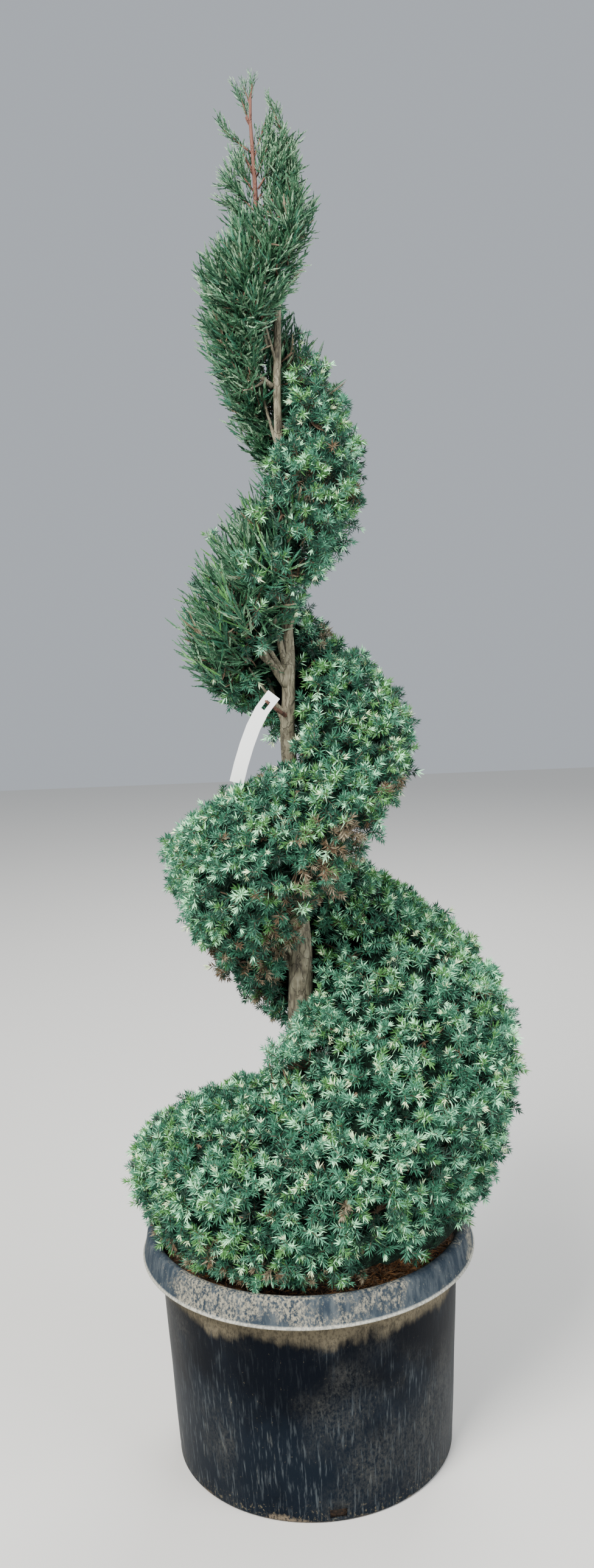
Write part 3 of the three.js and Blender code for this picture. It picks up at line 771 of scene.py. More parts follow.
def kinds_by_place(shares):
    """One kind for each row, by chance, from rows of shares that are scaled to add up to one."""
    shares = shares / shares.sum(1, keepdims=True)
    return (np.cumsum(shares, 1) < rng.uniform(size=(len(shares), 1))).sum(1).clip(0, shares.shape[1] - 1)


print("needle colours", len(COLOURS))

# %% [markdown]
# ## The clipped turns
#
# The lower three turns are dense. Their skin is covered twice: stars at the clipped line, and a second
# layer a little deeper that closes the gaps, painted in dark shadow colours as painted shade. Tufts stand
# apart with valleys between them, sunk deeper and painted darker as painted shade. Under the ribbon, where
# no light comes, the sprays thin out and turn brown, and their greens are painted darker as painted shade.
# The underside of the first turn's front is painted darker as well. On the left of the third turn and
# towards the top they aren't clipped, and grow as long loose cords.

# %% Zones and mix of the clipped turns
TOP_OF_DENSE = 1155.0


def between(values, low, high):
    """Whether each value is inside a span."""
    return (values > low) & (values < high)


def rising(values, zero, one):
    """0 at the value zero and before it, 1 at the value one and past it, and straight between."""
    return np.clip((values - zero) / (one - zero), 0, 1)


def under_weight(turn, tilt):
    """Chance of foliage: thinner on top lids and undersides, open where the branches of turn 3 show, and
    almost none where the potting mix lies bare."""
    upper = (turn > 450) & (tilt < -35) & ((turn < 590) | (turn > 670))
    beneath = between(turn, 560, 720) & between(tilt, -60, -8)
    open_fork = between(turn, 935, 1010) & (tilt < 0)
    bare_ground = between(turn, 288, 352) & (tilt < -50)
    weight = np.where(upper, 0.75, 1.0) * np.where(tilt > 70, 0.9, 1.0)
    for zone, chance in ((beneath, 0.62), (open_fork, 0.5), (bare_ground, 0.1)):
        weight = weight * np.where(zone, chance, 1.0)
    return weight


def clipped_mix(turns, tilts, painted_shade_valley, layer):
    """Shares of the kinds of needle and the chance of bright tips: blue in the light, a little more of it
    where the skin faces up as painted light, green at the left end and higher up, brown and dead where no
    light comes. Deep and shadow needles are painted shade in the valleys, in the inner layer, under the
    ribbon and on the low front, and fewer tips are bright there."""
    # Where the skin faces up, a little more blue, as painted light.
    sunny = rising(tilts, -20, 40)
    # Under the ribbon: brown and dead needles, which are real, and darker greens, which are painted shade.
    under = rising(tilts, -24, -59) * between(turns, 400, 860)
    withered_edge = np.interp(turns, [600, 630, 690, 712], [-35, 10, 6, -30])
    withered = rising(withered_edge - tilts, 0, 22) * between(turns, 600, 712)
    ground = rising(tilts, -46, -72) * (turns <= 400)
    fresh = np.clip(np.cos(np.radians(turns - 400)), 0, 1) * (turns < 480) * sunny
    high_up = rising(turns, 800, 920)
    left_end = np.clip(np.cos(np.radians(turns - 190)), 0, 1) * (turns < 300)
    greener = np.maximum(rising(turns, 540, 660), left_end)
    # The underside of the first turn's front: darker needles as painted shade.
    painted_shade_low_front = (turns < 400) * rising(tilts, 0, -30)
    dusky = rising(turns, 560, 620)
    blue = 0.40 + 0.1 * sunny - 0.25 * under - 0.22 * greener
    blue = blue - 0.18 * painted_shade_low_front - 0.15 * painted_shade_valley - 0.10 * dusky
    # Deep and shadow shares grow with the valleys, the inner layer, the underside and the low front:
    # painted shade.
    deep = 0.10 + 0.3 * under + 0.15 * high_up + 0.3 * layer + 0.2 * painted_shade_low_front + 0.35 * painted_shade_valley
    shares = shares_of(
        len(turns),
        blue=blue * (1 - layer),
        teal=(0.40 + 0.1 * high_up) * (1 - 0.8 * layer),
        deep=deep + 0.26 * dusky + 0.12 * left_end,
        green=(0.12 + 0.4 * fresh + 0.26 * greener) * (1 - layer),
        pale=0.02 * (1 - layer),
        brown=0.005 + 0.14 * under + 0.30 * ground + 0.26 * withered,
        dead=0.005 + 0.12 * under + 0.30 * ground + 0.50 * withered,
        shadow=0.02 + 0.7 * layer + 0.30 * painted_shade_valley,
    )
    bright = 0.24 * (1 - painted_shade_valley) * (1 - layer) * (1 - under) * (1 - ground) * (1 - withered)
    return shares, bright * (1 - 0.3 * high_up) * (1 - 0.3 * painted_shade_low_front)


print("chance of foliage under turn 2", under_weight(np.array([640.0]), np.array([-30.0])))

# %% Sprays of the clipped turns
# Number of sprays, their nearest and furthest depth under the skin, and 1 for the inner layer, which
# is painted in shadow colours as painted shade.
LAYERS = ((2450, (-0.004, 0.011), 0), (880, (0.020, 0.042), 1))

for count, depth_range, layer in LAYERS:
    turns, tilts = spread_over(count, (62.0, TOP_OF_DENSE), (-86.0, 86.0), under_weight)
    clump = waves(polar(turns, *skin(turns, tilts)), [0.050, 0.085], 17)
    # Valleys between tufts: sprays sit deeper there, and their needles are painted darker as painted shade.
    painted_shade_valley = np.clip(1.3 * clump, 0, 1) * (1 - layer)
    depth = rng.uniform(*depth_range, count) + 0.012 * painted_shade_valley
    sizes = rng.uniform(0.85, 1.12, count) * np.interp(turns, [60, 600, 1155], [1.08, 1.0, 0.9])
    ends_at, ways = dealt(turns, tilts, depth, 0.26, np.where(tilts > -30, 0.35, 0.1)[:, None])
    shares, bright = clipped_mix(turns, tilts, painted_shade_valley, layer)
    loose = (np.abs(turns - 900) < 68) & (tilts > -40) & (rng.uniform(size=count) < 0.9)
    loose |= (turns > 1075) & (rng.uniform(size=count) < 0.6)
    loose |= between(turns, 925, 1010) & (tilts < 25) & (rng.uniform(size=count) < 0.75)
    loose &= (ways * polar(turns, np.ones(count), 0.0)).sum(-1) > 0
    cords = shares_of(count, teal=0.10, green=0.10, fine=0.50, fine_dark=0.20, fine_tip=0.05, dead=0.05)
    up = unit(ways + [0, 0, 0.55])
    for chosen, templates, way, mix, tips in (
        (~loose, STAR_SPRAYS, ways, shares, ["pale", "pale", "cream"]),
        (loose, LONG_SPRAYS, up, cords, ["fine_tip"]),
    ):
        keep(templates, *(block[chosen] for block in (ends_at, way, sizes, turns, mix, bright)), tips)
print("kites on the clipped turns", sum(len(shapes) for shapes, _ in crown))

# %% [markdown]
# ## Foliage on the rim
#
# The lowest shoots lean on the pot's rim at the front, and some hang just over its inner edge.

# %% Shoots on the rim
SKIRT, SKIRT_BACK = 100, 20
turns = np.concatenate([rng.uniform(185, 292, SKIRT - SKIRT_BACK), rng.uniform(100, 180, SKIRT_BACK)])
out_to = rng.uniform(0.258, 0.287, SKIRT) - 0.006 * (turns < 210)
rest_at = polar(turns, out_to, rng.uniform(0.441, 0.462, SKIRT))
ways = unit(polar(turns, np.ones(SKIRT), -0.30) + rng.normal(0, 0.22, (SKIRT, 3)) * [1, 1, 0.4])
sizes = rng.uniform(0.7, 0.95, SKIRT)
shares = shares_of(SKIRT, blue=0.3, teal=0.3, deep=0.12, brown=0.13, dead=0.2)
keep(STAR_SPRAYS, rest_at, ways, sizes, turns, shares, np.full(SKIRT, 0.1), ["pale"])

# %% [markdown]
# ## The feathery top
#
# Above the third turn the plant wasn't clipped so hard. Its foliage is darker and finer, in upright
# plumes of scale leaves that stand off thin twigs, and one sees through it to the bare stem.

# %% Sprays of the feathery top
FEATHERY = 700
turns, tilts = spread_over(FEATHERY, (TOP_OF_DENSE - 20, 1468.0), (-74.0, 82.0), lambda turn, tilt: 1.0)
depth = rng.uniform(-0.004, 0.035, FEATHERY)
ends_at, ways = dealt(turns, tilts, depth, 0.25, np.full((FEATHERY, 1), 0.9))
sizes = rng.uniform(0.75, 1.15, FEATHERY) * np.interp(turns, [1155, 1470], [1.0, 0.75])
shares = shares_of(FEATHERY, fine=0.56, fine_dark=0.29, teal=0.12, dead=0.03)
keep(FINE_SPRAYS, ends_at, ways, sizes, turns, shares, np.full(FEATHERY, 0.35), ["fine_tip"])

# %% [markdown]
# ## Collar and leader
#
# Above the first turn some shoots stand in front of the trunk like a collar, so it comes up out of
# foliage and not out of a bare edge. At the very top the foliage is so thin that each limb shows, so a
# table gives these limbs, and the sprays sit in a row along each.

# %% Collar in front of the trunk
COLLAR = 46
turns = rng.uniform(238, 312, COLLAR)
spot = polar(turns, rng.uniform(0.035, 0.150, COLLAR), 0.0)
spot[:, 2] = 0.795 + np.interp(turns, [238, 312], [-0.030, 0.055]) + rng.uniform(-0.005, 0.040, COLLAR)
ways = unit(polar(turns, np.full(COLLAR, 0.55), 1.0) + rng.normal(0, 0.25, (COLLAR, 3)))
shares = shares_of(COLLAR, blue=0.4, teal=0.3, deep=0.1, green=0.2)
sizes = rng.uniform(0.85, 1.05, COLLAR)
keep(STAR_SPRAYS, spot, ways, sizes, turns, shares, np.full(COLLAR, 0.25), ["pale", "cream"])

# %% Leader
# Thin limbs of the leader: start and end in millimetres, number of sprays and their size.
LEADER = np.array([
    [-21, 0, 2262, -62, -3, 2297, 8, 0.42],
    [-17, 0, 2135, -50, -6, 2178, 12, 0.60],
    [-17, 0, 2171, -52, 0, 2212, 14, 0.62],
    [-17, 0, 2200, -44, -8, 2240, 10, 0.55],
    [-19, 0, 2228, -34, 6, 2262, 6, 0.45],
    [-21, 0, 2304, -34, 3, 2350, 7, 0.40],
    [-18, 0, 2345, -14, 0, 2366, 4, 0.30],
    [-18, 0, 2330, -28, 2, 2362, 4, 0.32],
    [30, -6, 2211, 44, -8, 2262, 6, 0.50],
    [44, -8, 2258, 24, -5, 2308, 7, 0.45],
    [27, -6, 2296, 12, -4, 2336, 6, 0.36],
    [-16, 0, 2150, 48, -6, 2222, 14, 0.62],
    [-17, 0, 2185, 30, 8, 2258, 14, 0.60],
    [-18, 0, 2215, 12, -9, 2284, 12, 0.52],
    [-14, -6, 2150, 24, -14, 2232, 13, 0.62],
    [-12, -6, 2205, 24, -14, 2262, 12, 0.56],
    [-10, 6, 2175, 32, 6, 2230, 9, 0.60],
    [-19, 0, 2248, 3, 3, 2306, 7, 0.42],
])
LEADER_SPRAYS = LEADER[:, 6].astype(int)
limb = np.repeat(np.arange(len(LEADER)), LEADER_SPRAYS)
along = np.concatenate([np.linspace(0.25, 1.0, count) for count in LEADER_SPRAYS])[:, None]
leader_start, leader_end = LEADER[:, :3] / MILLIMETRES, LEADER[:, 3:6] / MILLIMETRES
feet = leader_start[limb] + (leader_end - leader_start)[limb] * along
ways = unit(unit(leader_end - leader_start)[limb] + rng.normal(0, 0.35, feet.shape) + [0, 0, 0.3])
sizes = rng.uniform(0.85, 1.1, len(limb)) * LEADER[limb, 7]
shares = shares_of(len(limb), fine=0.7, fine_dark=0.3)
tips_at = feet + ways * FINE_LENGTH * sizes[:, None]
keep(FINE_SPRAYS, tips_at, ways, sizes, None, shares, np.full(len(limb), 0.6), ["fine_tip"])
leader_middle = (leader_start + leader_end) / 2 + [0, 0, -0.003]
leader_taper = np.outer(np.ones(len(LEADER)), np.linspace(0.0018, 0.0009, 6))
limbs("leader_limbs", leader_start, leader_middle, leader_end, leader_taper, 6, 0.0, young_bark)

# %% [markdown]
# ## Branches and twigs
#
# Every spray hangs on the plant: a stem goes on from the bough's end, branches fan from it to places
# deep in the foliage, and a twig runs from the nearest of these on the same turn to each spray's foot. The
# leader's sprays sit right on their limbs. A few limbs show in the gaps, so a table places them.

# %% Limbs that show
# Start, middle and end in millimetres, and the radius at the start.
SEEN = np.array([
    [2, -4, 1405, -30, -12, 1450, -86, -16, 1585, 8.0],
    [-28, -12, 1446, -70, -22, 1500, -128, -26, 1545, 4.5],
    [0, -6, 1440, -8, -20, 1500, -44, -30, 1640, 6.5],
    [2, -4, 1480, 22, -22, 1540, 58, -34, 1610, 5.0],
    [-30, -14, 1452, -48, -36, 1520, -60, -48, 1600, 4.0],
    [6, -5, 1352, -26, -14, 1380, -62, -8, 1440, 4.0],
    [-2, -2, 1899, -43, -14, 1934, -84, -18, 1972, 4.5],
    [-14, -3, 1909, -30, -18, 1896, -50, -20, 1893, 2.5],
    [-7, -3, 1961, -14, -16, 1990, -20, -22, 2030, 3.0],
    [-1, -4, 923, -16, -20, 945, -34, -26, 985, 5.5],
    [2, -6, 960, 18, -30, 1010, 30, -60, 1080, 5.0],
    [0, -6, 985, -30, -34, 1030, -70, -60, 1090, 5.0],
    [-2, -6, 1010, -8, -40, 1060, -20, -90, 1120, 5.0],
    [-16, 0, 2120, -30, -6, 2160, -62, -8, 2190, 2.2],
])
seen = SEEN[:, :9].reshape(-1, 3, 3) / MILLIMETRES
seen_taper = np.outer(SEEN[:, 9] / MILLIMETRES, np.linspace(1.0, 0.4, 10))
limbs("seen_limbs", *np.moveaxis(seen, 1, 0), seen_taper, 9, 0.06, bark)

# %% Stems and branches
BRANCHES = 26
stem_end = polar(middles, 0.66 * reach, crest + 0.05 * (high - crest))
stem_radii = np.outer(thick, np.linspace(0.62, 0.3, 6))
limbs("stems", arrive, (arrive + stem_end) / 2, stem_end, stem_radii, 8, 0.05, bark)
owner = np.repeat(np.arange(MASSES), BRANCHES)
share = ((np.arange(len(owner)) * GOLDEN_SHARE) % 1.0 - 0.5) * 0.9
branch_turn = middles[owner] + (ends - starts)[owner] * share
branch_tilt = np.tile(np.linspace(-52, 66, BRANCHES), MASSES)
branch_inset = np.minimum(0.055, 0.42 * ribbon(branch_turn)[3])
branch_radius, branch_height = skin(branch_turn, branch_tilt, branch_inset)
knots = polar(branch_turn, np.maximum(branch_radius, 0.02), branch_height)
leaving = rng.uniform(0.2, 1.0, len(owner))[:, None]
branch_start = arrive[owner] * (1 - leaving) + stem_end[owner] * leaving
branch_middle = (branch_start + knots) / 2 + rng.normal(0, 0.012, knots.shape)
branch_radii = np.outer(0.45 * thick[owner], np.linspace(0.55, 0.22, 5))
limbs("branches", branch_start, branch_middle, knots, branch_radii, 5, 0.0, bark)

# %% Twigs
OTHER_TURN, FAR_AWAY = 120.0, 9.0
feet, foot_ways, foot_turns = (np.concatenate(blocks) for blocks in zip(*twig_ends))
gap = np.linalg.norm(feet[:, None, :] - knots[None, :, :], axis=-1)
gap += np.where(np.abs(foot_turns[:, None] - branch_turn[None, :]) > OTHER_TURN, FAR_AWAY, 0.0)
nearest = knots[gap.argmin(1)]
twig_middle = (nearest + feet - foot_ways * 0.02) / 2
twig_radii = np.outer(np.ones(len(feet)), np.linspace(0.0021, 0.0011, 4))
limbs("twigs", nearest, twig_middle, feet, twig_radii, 3, 0.0, twig_bark)

# %% [markdown]
# ## The shade inside
#
# A clipped juniper is dense enough that no light comes through a turn. A small dark core, far behind the
# needles, stands for the shade of old foliage, with rough specks of deep green where one sees down to it.
# The feathery top has none, so light comes through it.

# %% Dark cores
CORE_ROWS, CORE_SIDES = 220, 22
core_turn = np.linspace(70.0, 1010.0, CORE_ROWS)
core_tilt = np.linspace(-62, 66, CORE_SIDES)
grid_turn, grid_tilt = np.meshgrid(core_turn, core_tilt, indexing="ij")
core_inset = np.minimum(0.062 + 0.015 * (grid_turn > 850), 0.45 * ribbon(grid_turn)[3])
core_radius, core_height = skin(grid_turn, grid_tilt, core_inset)
inner_limit = 0.32 * ribbon(grid_turn)[3]
core_points = polar(grid_turn, np.maximum(core_radius, inner_limit), core_height)
inner_low, inner_high = (
    polar(core_turn, inner_limit[:, 0] * 0.98, core_height[:, column] + lift)
    for column, lift in ((0, 0.012), (-1, -0.012))
)
core_points = np.concatenate([core_points, inner_high[:, None], inner_low[:, None]], 1)
core_points += (waves(core_points, [0.03, 0.07], 8) * 0.009)[..., None] * [1.0, 1.0, 0.6]
core_faces = closed_faces(CORE_ROWS, core_points.shape[1])
shade = Finish("shade", roughness=1.0, Specular_IOR_Level=0.1)
leaves = shade.noise(shade.place(), 140.0, 4.0, 0.75)
dusk = [(0.40, (0.002, 0.005, 0.003)), (0.56, (0.006, 0.020, 0.012)), (0.68, (0.030, 0.078, 0.044))]
shade.link("Base Color", shade.ramp(leaves, dusk))
shade.bump(leaves, 1.0, 0.006)
piece("inner_shade", core_points.reshape(-1, 3), core_faces, shade.material, True)

# %% [markdown]
# ## Joining the needles
#
# A million triangles as separate leaves would be slow, so the kites of one colour are joined into pieces
# of less than two hundred thousand triangles. Together they stand for the foliage masses.

# %% Needle pieces
LARGEST = 95000


shapes, kinds = (np.concatenate(blocks) for blocks in zip(*crown))
mass_names = tuple(sorted(name for name in names if name.startswith("mass_")))
for index, kind in enumerate(KINDS):
    mine = shapes[kinds == index]
    count = max(1, int(np.ceil(len(mine) / LARGEST)))
    for part, block in enumerate(np.array_split(mine, count)):
        label = "needles_" + kind + ("_" + str(part + 1) if count > 1 else "")
        faces = kite_faces(len(block))
        piece(label, block.reshape(-1, 3), faces, needle_finish[kind], False, mass_names)
print("kites in the crown", len(shapes))

# %% [markdown]
# ## Nursery pot
#
# The pot is blow-moulded plastic: a wall that widens to a flange, a tapering band and a rolled rim, with
# a notch in the foot at four sides. Its outline is turned round the axis, and the notches are cut from
# the wall where it stands on the ground.

# %% Pot outline
BASE_RADIUS, WALL_TOP_RADIUS, SKIRT_LOW, WALL = 0.253, 0.269, 0.386, 0.005
INNER_FLOOR = 0.006


def inside(height):
    """Inner radius of the wall: it widens evenly from the base to the flange, less the wall's thickness."""
    return BASE_RADIUS + (WALL_TOP_RADIUS - BASE_RADIUS) * height / SKIRT_LOW - WALL


def outside(height):
    """Outer radius of the wall, which widens evenly from the foot to the flange."""
    return np.interp(height, [0.004, 0.383], [BASE_RADIUS, WALL_TOP_RADIUS])


outer_heights = np.concatenate([[0.004, 0.006, 0.025], np.linspace(0.04, 0.383, 24)])
outline = [[0.250, 0.0]] + [[outside(z), z] for z in outer_heights]
outline += [[0.2695, 0.385], [0.286, 0.3855], [0.2985, 0.386], [0.3005, 0.387], [0.301, 0.3885]]
outline += [[0.3005, 0.390], [0.298, 0.3925], [0.2968, 0.395]]
outline += [[0.2968 - 0.0056 * t, 0.395 + 0.033 * t] for t in np.linspace(0.15, 1, 7)]
outline += [[0.2893, 0.4325], [0.2865, 0.4353], [0.2830, 0.4367], [0.2792, 0.4367], [0.2755, 0.4352]]
outline += [[0.2730, 0.4325], [0.2712, 0.428]]
outline += [[inside(z), z] for z in (SKIRT_LOW, 0.2, 0.025, INNER_FLOOR)]
outline = np.array(outline)
print("points in the pot's outline", len(outline))

# %% Pot surface
POT_COLUMNS, NOTCHES, NOTCH_COLUMNS = 160, 4, 3
QUARTER_COLUMNS = POT_COLUMNS // NOTCHES
pot_angle = np.radians(277.7) + 2 * np.pi * (np.arange(POT_COLUMNS) - 1.5) / POT_COLUMNS
pot_radius, pot_height = outline[:, :1], outline[:, 1:]
turned = [pot_radius * np.cos(pot_angle), pot_radius * np.sin(pot_angle), pot_height + 0 * pot_angle]
pot_points = np.stack(turned, -1)
bulge = np.sin(np.pi * np.clip(pot_points[..., 2] / 0.38, 0, 1))
dents = waves(pot_points, [0.12, 0.3], 12) * 0.0011 * bulge
pot_points *= (1 + dents / 0.26)[..., None] * [1, 1, 0] + [0, 0, 1]
rows = len(outline)
quads = grid_faces(rows, POT_COLUMNS)
row_of, column_of = np.divmod(np.arange(len(quads)), POT_COLUMNS)
outer_row, inner_row = 2, rows - 2
cut = (column_of % QUARTER_COLUMNS < NOTCH_COLUMNS) & ((row_of == outer_row) | (row_of == inner_row))
print("faces cut for the notches", int(cut.sum()))

# %% Edges of the notches and lids of the pot
notch_columns = np.arange(NOTCHES)[:, None] * QUARTER_COLUMNS + np.arange(NOTCH_COLUMNS)[None]
here, after = notch_columns.ravel(), (notch_columns.ravel() + 1) % POT_COLUMNS
foot_outer, head_outer = outer_row * POT_COLUMNS, (outer_row + 1) * POT_COLUMNS
head_inner, foot_inner = inner_row * POT_COLUMNS, (inner_row + 1) * POT_COLUMNS


def bridge(low, high):
    """Faces over the notches' columns, from one row of the wall to another."""
    return np.stack([low + here, low + after, high + after, high + here], 1)


jamb = np.array([foot_outer, foot_inner, head_inner, head_outer])
jamb_left = notch_columns[:, :1] + jamb
jamb_right = (notch_columns[:, -1:] + 1) % POT_COLUMNS + jamb[::-1]
hub = rows * POT_COLUMNS
pot_all = np.concatenate([pot_points.reshape(-1, 3), [[0, 0, 0], [0, 0, INNER_FLOOR]]])
lids = [fan(0, POT_COLUMNS, hub, True), fan((rows - 1) * POT_COLUMNS, POT_COLUMNS, hub + 1)]
edges = [bridge(foot_outer, foot_inner), bridge(head_inner, head_outer), jamb_left, jamb_right]
pot_faces = [quads[~cut], *edges, *lids]
print("points of the pot", len(pot_all))

# %% [markdown]
# ## Pot plastic
#
# The black-blue plastic carries dried mud: a band of tan streaks below the flange, dusty patches on the
# band and the rim, and splashes at the foot. Streaks run down, so their noise is stretched upright.

# %% Pot finish
plastic = Finish("pot_plastic", (0.02, 0.025, 0.03), 0.5, Specular_IOR_Level=0.05)
span, blend, noise = plastic.span, plastic.blend, plastic.noise
place = plastic.place()
height = plastic.split(place, 2)
patches = noise(place, 9.0, 4.0, 0.55)
streaks = noise(plastic.stretched(0.16), 70.0, 5.0, 0.65)
fine_streaks = noise(plastic.stretched(0.10), 230.0, 3.0, 0.6)
specks = noise(plastic.stretched(0.6), 230.0, 5.0, 0.72)
worn = span(patches + 0.35 * span(height, 0.30, 0.12), 0.50, 0.86)
wall = blend(worn, (0.0008, 0.0020, 0.0046), (0.0046, 0.0082, 0.0140))
wall = blend(span(fine_streaks, 0.52, 0.74) * (0.12 + 0.75 * worn), wall, (0.062, 0.073, 0.080))
film = span(noise(place, 4.0, 3.0), 0.46, 0.66) * span(specks + streaks * 0.4, 0.55, 0.85)
wall = blend(film * 0.55, wall, (0.060, 0.060, 0.055))
runs = span(streaks, 0.60, 0.70) * span(fine_streaks, 0.42, 0.60) * worn
wall = blend(runs * 0.7, wall, (0.115, 0.120, 0.110))
muddy = span(specks + 0.10 * span(height, 0.05, 0.01), 0.64, 0.76)
wall = blend(muddy * 0.65, wall, (0.17, 0.145, 0.095))
edge = height + patches * 0.075 + streaks * 0.035
under_flange = span(edge, 0.386, 0.414) * (0.55 + 0.45 * span(specks, 0.40, 0.55))
wall = blend(under_flange * 0.85, wall, (0.175, 0.148, 0.098))
wall = blend(span(height + specks * 0.012, 0.374, 0.381) * 0.7, wall, (0.26, 0.225, 0.155))
splash = span(height + patches * 0.08, 0.044, 0.034)
wall = blend(splash * span(specks, 0.40, 0.52), wall, (0.15, 0.12, 0.085))
dusty = span(patches + 0.25 * specks, 0.62, 0.76)
speckled = blend(span(streaks, 0.4, 0.7), (0.026, 0.038, 0.052), (0.078, 0.092, 0.102))
speckled = blend(span(specks, 0.60, 0.70) * 0.6, speckled, (0.31, 0.29, 0.22))
speckled = blend(dusty * 0.75 * span(specks, 0.42, 0.60), speckled, (0.35, 0.32, 0.24))
band = span(height, 0.3865, 0.3885)
wall = blend(band, wall, speckled)
lip = span(height, 0.3935, 0.3905) * band
wall = blend(lip * (0.45 + 0.4 * span(specks, 0.42, 0.56)), wall, (0.50, 0.49, 0.42))
plastic.link("Base Color", wall)
plastic.link("Roughness", 0.44 + 0.35 * dusty * band + 0.35 * under_flange + 0.2 * muddy)
plastic.bump(specks + streaks * 0.5, 0.2, 0.0010)
piece("pot_shell", pot_all, pot_faces, plastic.material, True, ("pot",))

# %% [markdown]
# ## Potting mix
#
# Composted bark with fallen needles on it, a little higher at the trunk than at the wall. A bumpy disc
# with a narrower base makes the mix, cells in three browns are its crumbs, and dead needles lie on it.

# %% Potting mix surface
MIX_ROWS, MIX_COLUMNS = 60, 150
MIX_EDGE, MIX_BASE, MIX_TOP = 0.385, 0.0063, 0.4
mix_radius = np.linspace(0.004, inside(MIX_EDGE) - 0.0006, MIX_ROWS)
mix_angle = 2 * np.pi * np.arange(MIX_COLUMNS) / MIX_COLUMNS


def mix_height(points):
    """Height of the surface: level round the trunk, a little lower at the wall, with crumbly relief."""
    radius = np.linalg.norm(points[..., :2], axis=-1)
    flat = np.interp(radius, [0.0, 0.07, 0.264], [0.400, 0.400, 0.393])
    calm = np.interp(radius, [0.25, 0.264], [1, 0.2])
    return flat + 0.0032 * waves(points, [0.012, 0.03, 0.08], 21) * calm


circle = np.stack([np.cos(mix_angle), np.sin(mix_angle), 0 * mix_angle], -1)
top_mix = mix_radius[:, None, None] * circle
top_mix[..., 2] = mix_height(top_mix)
narrow = inside(MIX_BASE) / inside(MIX_EDGE)
low_ring = top_mix[-1] * [narrow, narrow, 0] + [0, 0, MIX_BASE]
mix_points = np.concatenate([top_mix.reshape(-1, 3), low_ring, [[0, 0, MIX_TOP], [0, 0, MIX_BASE]]])
outer, low_start, hub = (MIX_ROWS - 1) * MIX_COLUMNS, MIX_ROWS * MIX_COLUMNS, (MIX_ROWS + 1) * MIX_COLUMNS
ring = np.arange(MIX_COLUMNS)
following = (ring + 1) % MIX_COLUMNS
mix_faces = [
    grid_faces(MIX_ROWS, MIX_COLUMNS)[:, ::-1],
    np.stack([outer + ring, low_start + ring, low_start + following, outer + following], 1),
    fan(0, MIX_COLUMNS, hub),
    fan(low_start, MIX_COLUMNS, hub + 1, True),
]
print("points of the potting mix", len(mix_points))

# %% Potting mix finish
mulch = Finish("mulch", roughness=0.95)
crumbs = mulch.node("ShaderNodeTexVoronoi", output=1, Vector=mulch.place(), Scale=230.0)
tint = mulch.split(crumbs, 0)
damp = mulch.noise(mulch.place(), 30.0, 4.0)
browns = [(0.1, (0.022, 0.014, 0.010)), (0.5, (0.075, 0.042, 0.024)), (0.9, (0.17, 0.095, 0.05))]
tone = mulch.ramp(tint, browns)
mulch.link("Base Color", mulch.blend(mulch.span(damp, 0.35, 0.6) * 0.6, tone, (0.030, 0.020, 0.014)))
mulch.bump(mulch.noise(mulch.place(), 190.0, 5.0, 0.7), 0.8, 0.004)
piece("mulch_bed", mix_points, mix_faces, mulch.material, True, ("potting_mix",))

# %% Fallen needles
LITTER, HEAP = 6600, 1500
litter_radius = 0.258 * np.sqrt(rng.uniform(0.03, 1, LITTER))
litter_turn = rng.uniform(0, 360, LITTER)
heap = np.arange(LITTER) < HEAP
litter_turn[heap] = rng.normal(318, 17, HEAP)
litter_radius[heap] = rng.uniform(0.185, 0.258, HEAP)
litter_at = polar(litter_turn, litter_radius, 0.0)
litter_at[:, 2] = mix_height(litter_at) + 0.0012 + heap * rng.uniform(0.0, 0.020, LITTER)
litter_way = unit(rng.normal(0, 1, (LITTER, 3)) * [1, 1, 0.16])
litter_length, litter_width = rng.uniform(0.008, 0.017, LITTER), rng.uniform(0.0012, 0.002, LITTER)
litter = kites(litter_at, litter_way, litter_length, litter_width, rng)
for label, tone, block in (
    ("fallen_orange", (0.52, 0.24, 0.09), litter[::2]),
    ("fallen_tan", (0.32, 0.20, 0.105), litter[1::2]),
):
    piece(label, block.reshape(-1, 3), kite_faces(len(block)), Finish(label, tone, 0.85).material)

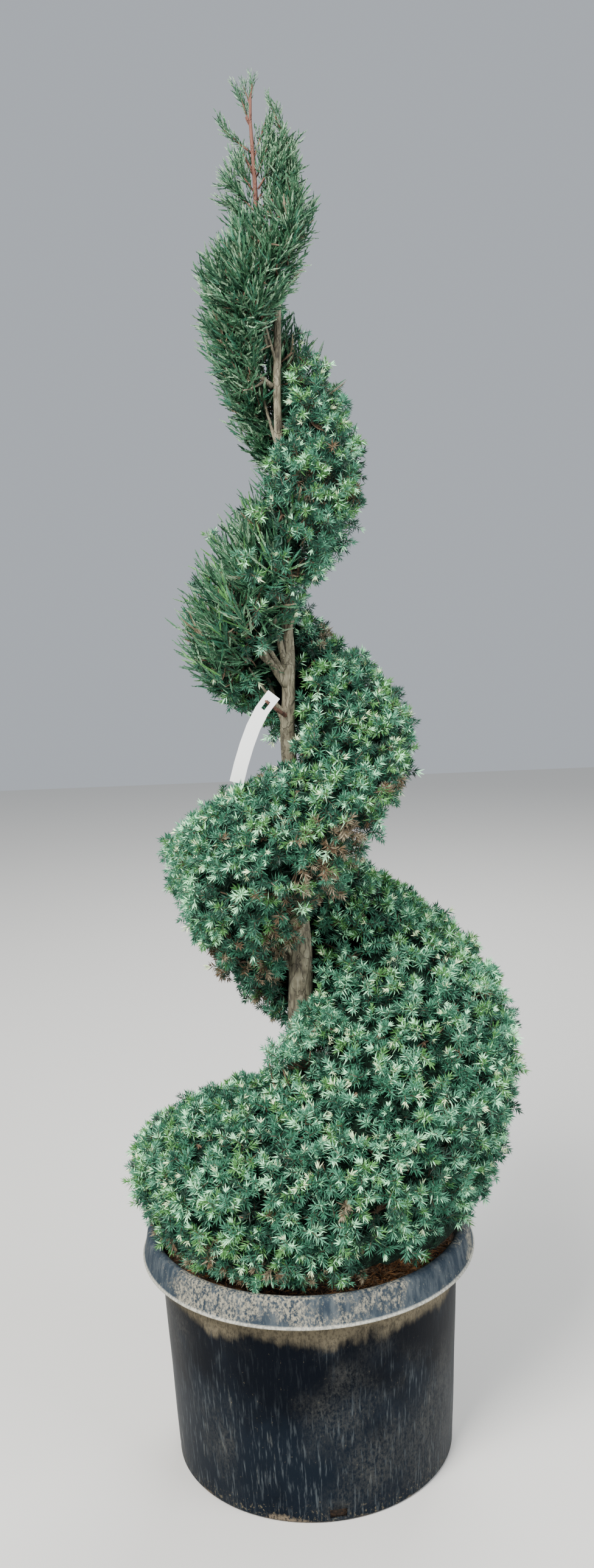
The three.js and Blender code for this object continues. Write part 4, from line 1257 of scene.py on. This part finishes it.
# %% [markdown]
# ## Hang tag
#
# A plant label of thin white card is looped round a spur and curls down to the left. The solid already
# has its curve and its slot, so it stays and gets a satin white finish.

# %% Tag finish
card = Finish("tag_card", (0.83, 0.84, 0.83), 0.35)
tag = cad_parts["tag"]
tag.data.materials.clear()
tag.data.materials.append(card.material)
print("tag faces", len(tag.data.polygons))

# %% [markdown]
# ## Floor and light
#
# A plain pale floor and large soft lamps, brighter from the front left, show the shapes without hard
# shadows. They aren't part of the object.

# %% Floor
HALF_FLOOR = 7.0
corners = [(x * HALF_FLOOR, y * HALF_FLOOR, 0) for x, y in ((-1, -1), (1, -1), (1, 1), (-1, 1))]
floor_mesh = bpy.data.meshes.new("floor")
floor_mesh.from_pydata(corners, [], [(0, 1, 2, 3)])
floor = bpy.data.objects.new("floor", floor_mesh)
floor.location.z = -0.0005
bpy.context.scene.collection.objects.link(floor)
floor_mesh.materials.append(Finish("floor", (0.62, 0.61, 0.59), 0.9).material)
print("floor", 2 * HALF_FLOOR, "metres wide")

# %% World and lamps
LAMPS_FACE = Vector((0.0, 0.0, 1.1))
world = bpy.data.worlds.new("soft_world")
world.use_nodes = True
world.node_tree.nodes["Background"].inputs["Color"].default_value = (0.86, 0.92, 1.0, 1.0)
world.node_tree.nodes["Background"].inputs["Strength"].default_value = 0.55
bpy.context.scene.world = world


def lamp(name, at, size, power, colour):
    """A square lamp, its size in metres and its power in watts, that faces the plant's middle."""
    light = bpy.data.lights.new(name, "AREA")
    light.size = size
    light.energy = power
    light.color = colour
    lamp_object = bpy.data.objects.new(name, light)
    bpy.context.scene.collection.objects.link(lamp_object)
    lamp_object.location = at
    toward = LAMPS_FACE - Vector(at)
    lamp_object.rotation_euler = toward.to_track_quat("-Z", "Y").to_euler()


lamp("key", (-1.8, -3.0, 4.4), 2.0, 590.0, (1.0, 0.98, 0.93))
lamp("fill", (3.2, -2.2, 2.8), 2.6, 150.0, (0.96, 0.98, 1.0))
lamp("back", (0.8, 3.2, 3.9), 2.4, 170.0, (1.0, 1.0, 0.97))
print("lamps", len(bpy.data.lights))
